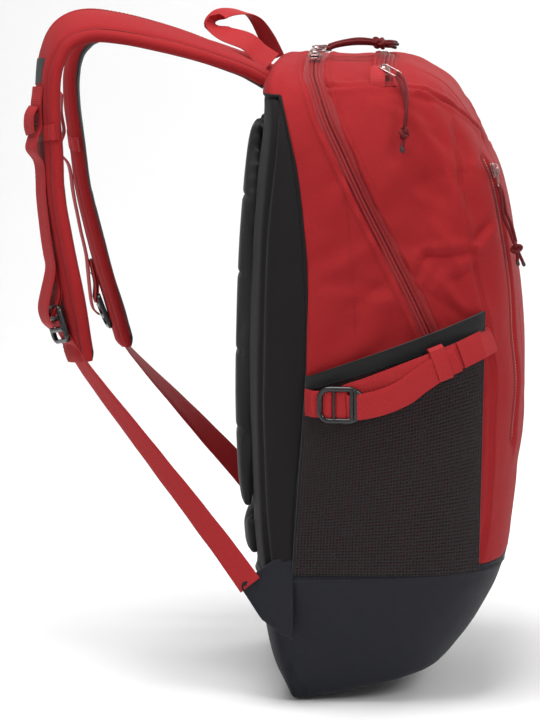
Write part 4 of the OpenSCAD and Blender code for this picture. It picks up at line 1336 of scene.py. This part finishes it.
TURNS = {"left": (1, 0.6, 0), "right": (1, -0.25, 0)}
ROLLS = {"left": (1, 0.3, 0.65), "right": (1, -0.12, 0)}
for right, side in reversed(SIDES):
    body = f"strap_{side}"
    turn = TURNS[side]
    strap_side, strap_out, _ = frames(strap_line, (1, 0, 0), turn, ROLLS[side])
    rooted = ("pack", body, leaned((-45, 86, 480), right), leaned((-49, 132, 500), right))
    top = lean_part(ring_part(strap_rings(smoothed(TOP_SECTION), 0.5, 51)), right)
    piece = add(f"strap_cover_{side}", [top], [red_cloth], body, [f"strap_pad_{side}"],
        rooted)
    pad = lean_part(ring_part(strap_rings(smoothed(PAD_SECTION), 1.0, 54)), right)
    piece = add(f"strap_lining_{side}", [pad], [spacer_mesh], body, (), rooted)
    keep = slice(1, -3)
    cords = [tube_part(strap_row(k * 0.735, 3.0)[keep], 1.0, 8) for k in (-1, 1)]
    cords += [stitch_parts(strap_row(k * 0.80, 3.9)[keep], strap_out[keep], 3.2, 2.2, 0.3, 0)
        for k in (-1, 1)]
    cords += [tube_part(strap_row(k * 0.985, -4.0)[keep], 0.9, 8) for k in (-1, 1)]
    add(f"strap_piping_{side}", [lean_part(q, right) for q in cords], [thread], body, (),
        rooted)
    # A sewn tab holds the ladder lock, and the lower webbing runs through it.
    tab = spline([strap_spot(334, -4, 7.0), strap_spot(322, -4, 7.4), strap_spot(312, -4, 8.4),
        [-87, 246.5, 299]], 1.5)
    tab_side, tab_out, _ = frames(tab, turn)
    corners = [(1, -7), (1, 7), (8, 7), (8, -7), (1, -7)]
    box_line = even([tab[i] + tab_side[i] * a + tab_out[i] * 2.9 for i, a in corners], 1.0)
    parts = [strip_part(tab, WEB_W, WEB_T, turn), strip_part(tab + tab_out * 1.9, WEB_W, 1.3, turn)]
    parts.append(stitch_parts(box_line, np.array([tab_out[4]] * len(box_line)), 2.4, 1.6, 0.32, 0))
    add(f"strap_tab_web_{side}", [lean_part(q, right) for q in parts], [red_web], body,
        [f"strap_tab_{side}"])
    m = stretch_basis((-87, 246, 303), (-88, 238, 276), 0.5,
        turn) @ np.array([[0, -1, 0, 0], [1, 0, 0, 0], [0, 0, 1, 0], [0, 0, 0, 1.0]])
    parts = [lean_part(transform(q, m), right) for q in buckle_part(31, 31, 3.4, 5.5, 0.004)]
    piece = make(f"ladder_frame_{side}", parts, [black_plastic])
    done(sharpen(piece), body, [f"ladder_lock_{side}"])
    route = np.array([[-88, 240, 287], [-95, 216, 252], [-110, 172, 199], [-124, 128, 146],
        [-133, 104, 117], [-137, 94, 104]], float)
    k = np.linspace(0, 1, len(route))[:, None]
    route = route + (np.array([0, 26, 2]) * k if right else 0)
    web = spline(list(route) + [route[-1] + (route[-1] - route[-2]) * 0.55], 2.0)
    web = np.concatenate([spline([[-88.2, 244, 292], [-88, 242.6, 289.5], [-88, 240, 287]], 1.2)[:-1], web])
    parts = [strip_part(web, WEB_W, WEB_T, turn, (0.25, 0.78, -0.63), ripple=0.4, seed=9)]
    piece = make(f"lower_webbing_{side}", [lean_part(q, right) for q in parts], [red_web])
    foot = leaned(route[-1], right)
    above = leaned(route[-1] + (route[-2] - route[-1]) * 2.4, right)
    done(piece, body, [f"strap_web_{side}"], ("pack", body, foot, above))
    # The spare webbing is stowed up the strap in loose bights.
    bights = [(330, 11.5), (345, 10.5), (365, 9.6), (388, 8.8), (406, 8.4), (413, 10), (423, 15.5),
        (432, 13.5), (440, 9.4), (455, 9.6), (464, 8.6), (470, 8.2)]
    tail = spline([[-88.5, 246, 287], [-89.5, 250, 292], [-91, 252, 304]]
        + [strap_spot(z, -8, out) for z, out in bights], 1.6)
    parts = [strip_part(tail, WEB_W, WEB_T, turn, ripple=0.5, seed=10)]
    loop = spline([strap_spot(z, -8, out) for z, out in ((456, 11.6), (450, 15), (441, 16), (434, 15))],
        1.2)
    parts.append(strip_part(loop, WEB_W - 1, 1.4, turn))
    add(f"stowed_tail_{side}", [lean_part(q, right) for q in parts], [red_web], body,
        [f"strap_tail_{side}"])
    # A band of flat webbing holds the tail on the strap.
    i = falling_row(BAND_Z)
    section = smoothed(TOP_SECTION[1:24])[:-1]
    grid = []
    for j in range(i - 2, i + 3):
        grid.append(strap_line[j] + strap_side[j] * (section[:, :1] * (strap_half[j] + 0.7)) + strap_out[j]
            * (section[:, 1:] + 0.8))
    grid = np.array(grid)
    outward = unit(grid - strap_line[i - 2 : i + 3, None])
    band = lean_part(shell(grid, outward, 1.0, 0, 0), right)
    add(f"strap_band_{side}", [band], [red_web], body)

# A plain sewn patch wraps the edge of the left strap.
i = falling_row(PATCH_Z)
section = np.array([(0.99, -3.0), (1.03, -1.4), (1.03, 0.4), (0.99, 2.4), (0.93, 3.8), (0.86, 4.3),
    (0.78, 4.3), (0.7, 4.6), (0.62, 5.4), (0.5, 6.1), (0.35, 6.5), (0.2, 6.7), (0.0, 6.8), (-0.2, 6.7),
    (-0.32, 6.5)])
grid = np.array([strap_line[j] + strap_side[j] * (section[:, :1] * (strap_half[j] + 0.6)) + strap_out[j]
    * (section[:, 1:] + 0.4) for j in range(i - 3, i + 4)])
outward = unit(grid - (strap_line[i - 3 : i + 4, None] + strap_side[i - 3 : i + 4, None] * 22))
add("plain_patch", [shell(grid, outward, 0.9, 0, 0)], [label_cloth], "strap_left")

# ---- Haul loop ----

haul = spline([[-20, 80, 489], [-18.5, 90, 496], [-15.5, 100, 504.5], [-12, 118, 511], [-3, 127, 519],
    [6, 121, 526], [14, 108, 527], [20, 97, 522], [24, 88, 508], [25, 80, 490]], 1.5)
loop = strip_part(haul, WEB_W, WEB_T, (0.6, -0.2, 0.7), (0.6, 0.7, -0.2), ripple=0.3, seed=12)
add("haul_webbing", [loop], [red_web], "haul", ["haul_loop"])

# ---- Sliders ----


def slider_parts():
    """A zip slider: two plates on a wedge, with a bridge and rounded flanges."""
    def plate(z0, z1, wide, narrow, length):
        rings = []
        t = np.linspace(0, 2 * math.pi, 48, endpoint=False)
        c, s = np.cos(t), np.sin(t)
        y = length / 2 * np.sign(s) * np.abs(s) ** 0.5
        w = np.interp(y, [-length / 2, 0, length / 2], [narrow, (wide + narrow) / 2.1, wide])
        x = w / 2 * np.sign(c) * np.abs(c) ** 0.5
        for z, k in ((z0, 0.9), (z0 + 0.15, 0.98), ((z0 + z1) / 2, 1), (z1 - 0.2, 0.97), (z1, 0.86)):
            rings.append(np.stack([x * k, y * k, np.full(48, z)], 1))
        return ring_part(np.array(rings))

    parts = [plate(0.0, 0.9, 8.6, 6.4, 11.5), plate(1.9, 3.0, 8.6, 6.2, 11.5),
        plate(0.5, 2.4, 3.0, 2.2, 5.0)]
    for k in (-1, 1):
        lip = np.array([[k * 3.9, 5, 2.0], [k * 4.2, 3, 1.9], [k * 3.7, -2, 1.9], [k * 3.1, -5, 2.0]])
        parts.append(tube_part(spline(lip, 0.8), 0.75, 8))
    bridge = spline([[0, -4.2, 2.6], [0, -3.9, 4.2], [0, -2.2, 5.2], [0, 1.5, 5.3], [0, 3.6, 4.6],
        [0, 4.3, 2.7]], 0.5)
    side, out, _ = frames(bridge, (1, 0, 0))
    rings = [q + np.array([s * 1.3 * c + o * 0.5 * d
        for c, d in ((-1, -0.7), (-1, 0.7), (-0.7, 1), (0.7, 1), (1, 0.7), (1, -0.7), (0.7, -1),
        (-0.7, -1))]) for q, s, o in zip(bridge, side, out)]
    parts.append(ring_part(np.array(rings)))
    return parts


def turn_y(deg):
    a = math.radians(deg)
    return np.array([[math.cos(a), 0, math.sin(a)], [0, 1, 0], [-math.sin(a), 0, math.cos(a)]])


def turn_x(deg):
    a = math.radians(deg)
    return np.array([[1, 0, 0], [0, math.cos(a), -math.sin(a)], [0, math.sin(a), math.cos(a)]])


QUARTER = np.array([[0, -1, 0], [1, 0, 0], [0, 0, 1.0]])
SLIDERS = {
    "main_slider_left": (turn_y(-12) @ QUARTER, (-66, 44, 494.8), "slider_main_left", "pull_main_left",
                         "main_cord_left"),
    "main_slider_right": (turn_y(-7) @ QUARTER, (-44, 44, 497.2), "slider_main_right",
                          "pull_main_right", "main_cord_right"),
    "top_slider": (turn_y(-20) @ QUARTER, (-100, -10, 484.8), "slider_top", "pull_top", "top_cord"),
    "front_slider": (turn_x(72), (-92, -91.9, 410), "slider_front", "pull_front", "front_cord"),
}
for name, (turn_matrix, place, body, pull, cord) in SLIDERS.items():
    m = np.eye(4)
    m[:3, :3], m[:3, 3] = turn_matrix, place
    piece = make(f"{name}_body", [transform(q, m) for q in slider_parts()], [slider_metal])
    done(sharpen(piece, 50), body, [name])
    # A wire ring joins the cord to the bridge.
    start = np.array(CORDS[cord][0][0], float)
    bridge = np.array(place) + turn_matrix @ [0, 0, 4.4]
    reach = unit(start - bridge)
    across = unit(np.cross(reach, turn_matrix @ [0, 0, 1.0]))
    length = np.linalg.norm(start - bridge) + 3.4
    path = []
    for x, y in rounded(length, 7.6, 1.9, 7):
        path.append(bridge + reach * (x + length / 2 - 1.6) + across * y)
    add(f"{name}_wire", [tube_part(np.array(path), 0.62, 10, 0, closed=True)], [slider_metal], pull)

# A short webbing tab covers the end of the top pocket's zip.
g = spline([[-97, -6, 487.5], [-101, -6, 486], [-105.5, -5.8, 482], [-108.8, -5.6, 477], [-110, -5.5, 472]],
    1.2)
piece = add("top_zip_tab", [strip_part(g + [-2.2, 0, 1.4], 11.5, 1.5, (0, 1, 0), ripple=0.2, seed=14)],
    [red_web], "flap")

# ---- Back padding, sleeve and stiffener ----


SWELL_FRAMES, VOXEL = 16, 0.0034


def inflate(obj, pressure, cap):
    """Cloth simulation: the closed mesh swells like a stuffed pad, and moves at most cap metres."""
    scene = bpy.context.scene
    bpy.context.view_layer.objects.active = obj
    remesh = obj.modifiers.new("remesh", "REMESH")
    remesh.mode, remesh.voxel_size = "VOXEL", VOXEL
    dg = bpy.context.evaluated_depsgraph_get()
    me = bpy.data.meshes.new_from_object(obj.evaluated_get(dg))
    obj.modifiers.clear()
    mats = list(obj.data.materials)
    obj.data = me
    me.materials.clear()
    for q in mats:
        me.materials.append(q)
    rest = np.array([v.co for v in me.vertices], float)
    cloth = obj.modifiers.new("cloth", "CLOTH")
    s = cloth.settings
    s.quality, s.use_pressure, s.uniform_pressure_force = 5, True, pressure
    s.effector_weights.gravity = 0
    s.tension_stiffness = s.compression_stiffness = 12
    s.bending_stiffness, s.mass = 0.6, 0.2
    cloth.point_cache.frame_start, cloth.point_cache.frame_end = 1, SWELL_FRAMES
    for f in range(1, SWELL_FRAMES + 1):
        scene.frame_set(f)
    dg = bpy.context.evaluated_depsgraph_get()
    moved = np.array([v.co for v in obj.evaluated_get(dg).data.vertices], float)
    obj.modifiers.clear()
    scene.frame_set(1)
    step = moved - rest
    size = np.linalg.norm(step, axis=1, keepdims=True)
    step *= np.minimum(1, cap / np.maximum(size, 1e-9))
    me.vertices.foreach_set("co", (rest + step).ravel())
    sub = obj.modifiers.new("smooth", "SUBSURF")
    sub.levels = sub.render_levels = 1
    dg = bpy.context.evaluated_depsgraph_get()
    obj.data = bpy.data.meshes.new_from_object(obj.evaluated_get(dg))
    obj.modifiers.clear()
    for f in obj.data.polygons:
        f.use_smooth = True
    return obj


spacer_free = knit("spacer_mesh_free", (0.012, 0.012, 0.013), period=0.0032)
PAD_COLS = 22
# Each pad: lowest and highest z, inner x, how much its outer edge draws in at the top, and its side
PADS = {
    "back_pad_left": (150, 446, 24, 16, -1),
    "back_pad_right": (150, 446, 24, 16, 1),
    "lumbar_pad": (114, 142, -104, 0, 1),
}
for name, (h0, h1, near, taper, sign) in PADS.items():
    hs = np.linspace(h0, h1, max(8, int((h1 - h0) / 5)))
    grid = []
    for hh in hs:
        x = np.linspace(near, 104 - taper * ramp(hh, 380, 446), PAD_COLS)
        share = np.minimum(1, np.abs(x) / (HALF_W * SHARE(hh)))
        y = SEAM_Y(hh) + (REAR_Y(hh) - SEAM_Y(hh)) * (1 - share**REAR_POWER) ** (1 / REAR_POWER)
        grid.append(np.stack([sign * x, y, np.full(PAD_COLS, hh)], 1))
    grid = np.array(grid)
    out = np.zeros_like(grid)
    out[..., 1] = 1
    u = np.linspace(-1, 1, PAD_COLS)[None]
    v = np.linspace(-1, 1, len(hs))[:, None]
    crown_up = 3.2 * (1 - u**8) * (1 - v**16)
    piece = make(name, [shell(grid + out * (3.4 + crown_up)[..., None], out, 7.0, 0, 0)], [spacer_free])
    inflate(piece, 3.0, 0.0035)
    # Sewn channels are pressed in after the swelling.
    co = np.array([q.co for q in piece.data.vertices], float) * 1000 - CENTRE
    ribs = sum(bump(co[:, 2] - z, 2.2) for z in (210, 270, 330,
        390)) if h1 - h0 > 100 else bump(np.abs(co[:, 0]) - 52, 2.2)
    co[:, 1] -= 1.8 * ribs * ramp(co[:, 1] - REAR_Y(np.clip(co[:, 2], 0, 490)), 0.5, 2.5)
    piece.data.vertices.foreach_set("co", to_row(co).ravel())
    done(piece, "pack")

SLEEVE_HALF, SLEEVE_Y, SLEEVE_TOP = 105, 40, 313
z, x = np.meshgrid(np.linspace(15, SLEEVE_TOP, 60), np.linspace(-SLEEVE_HALF, SLEEVE_HALF, 44),
    indexing="ij")
p = np.stack([x, SLEEVE_Y + 0 * x, z], -1)
p[..., 1] += 0.9 * noise(p, (60, 60, 70), 61) * (1 - (x / SLEEVE_HALF) ** 4) - 0.8 * bump(z - 300, 1.5)
out = np.zeros_like(p)
out[..., 1] = -1
piece = add("sleeve_cloth", [shell(p + out * 1.8, out, 3.4, 0, 0),
    tube_part(np.stack([np.linspace(-105, 105, 80), np.full(80, 40.0), np.full(80, 313.0)], 1), 2.4, 10,
    1)], [lining, binding], "pack", ["laptop_sleeve"])
sheet_node = frame["nodes"]["frame_sheet"]
sheet_node.data.materials.clear()
sheet_node.data.materials.append(stiffener)

# ---- Stage ----


def stage_material(name, color, rough):
    """Pale paper, which is clear when it is seen from behind."""
    m = Nodes(name)
    m.set(Base_Color=shade(color, 1), Roughness=rough, Specular_IOR_Level=0.2)
    behind = m.add("ShaderNodeNewGeometry").outputs["Backfacing"]
    clear = m.add("ShaderNodeBsdfTransparent").outputs[0]
    both = m.add("ShaderNodeMixShader", {0: behind, 1: m.bsdf.outputs[0], 2: clear}).outputs[0]
    m.tree.links.new(both, m.tree.nodes["Material Output"].inputs["Surface"])
    return m.mat


floor_mesh = bpy.data.meshes.new("floor")
r, bend_from, curve, wall = 3.2, 1.0, 0.9, 3.5
rows = [(-r, 0.0), (bend_from, 0.0)]
rows += [(bend_from + curve * math.sin(a), curve - curve * math.cos(a))
    for a in np.linspace(0.15, math.pi / 2, 10)]
rows += [(bend_from + curve, wall)]
low_z = CAD_BOX[0][2] - 0.0005
verts, faces = [], []
for along, z in rows:
    verts += [(along, -r, z + low_z), (along, r, z + low_z)]
for i in range(len(rows) - 1):
    faces.append((2 * i + 2, 2 * i + 3, 2 * i + 1, 2 * i))
floor_mesh.from_pydata(verts, [], faces)
floor = bpy.data.objects.new("floor", floor_mesh)
bpy.context.scene.collection.objects.link(floor)
for f in floor_mesh.polygons:
    f.use_smooth = True
floor_mesh.materials.append(stage_material("floor", (0.95, 0.95, 0.95), 0.7))


def area_light(name, place, aim, size, power):
    data = bpy.data.lights.new(name, "AREA")
    data.shape, data.size, data.energy = "SQUARE", size, power
    obj = bpy.data.objects.new(name, data)
    bpy.context.scene.collection.objects.link(obj)
    obj.location = place
    obj.rotation_euler = (Vector(place) - Vector(aim)).to_track_quat("Z", "Y").to_euler()


area_light("top", (-0.35, 0.15, 1.9), (0, 0, 0.3), 1.1, 36)
area_light("key", (-1.5, -1.5, 1.5), (0, 0, 0.28), 0.8, 18)
area_light("fill", (-1.6, 1.5, 0.7), (0, 0, 0.25), 1.4, 5.5)
area_light("rim", (1.5, -1.3, 1.2), (0, 0, 0.3), 1.0, 10)
WORLD_LEVEL = 0.29
world = bpy.data.worlds.new("studio")
world.use_nodes = True
world.node_tree.nodes["Background"].inputs[0].default_value = (1, 1, 1, 1)
seen = world.node_tree.nodes.new("ShaderNodeLightPath")
level = world.node_tree.nodes.new("ShaderNodeMath")
level.operation = "MULTIPLY_ADD"
level.inputs[1].default_value, level.inputs[2].default_value = 1 - WORLD_LEVEL, WORLD_LEVEL
world.node_tree.links.new(seen.outputs["Is Camera Ray"], level.inputs[0])
world.node_tree.links.new(level.outputs[0], world.node_tree.nodes["Background"].inputs[1])
bpy.context.scene.world = world
bpy.context.scene.view_settings.view_transform = "Standard"
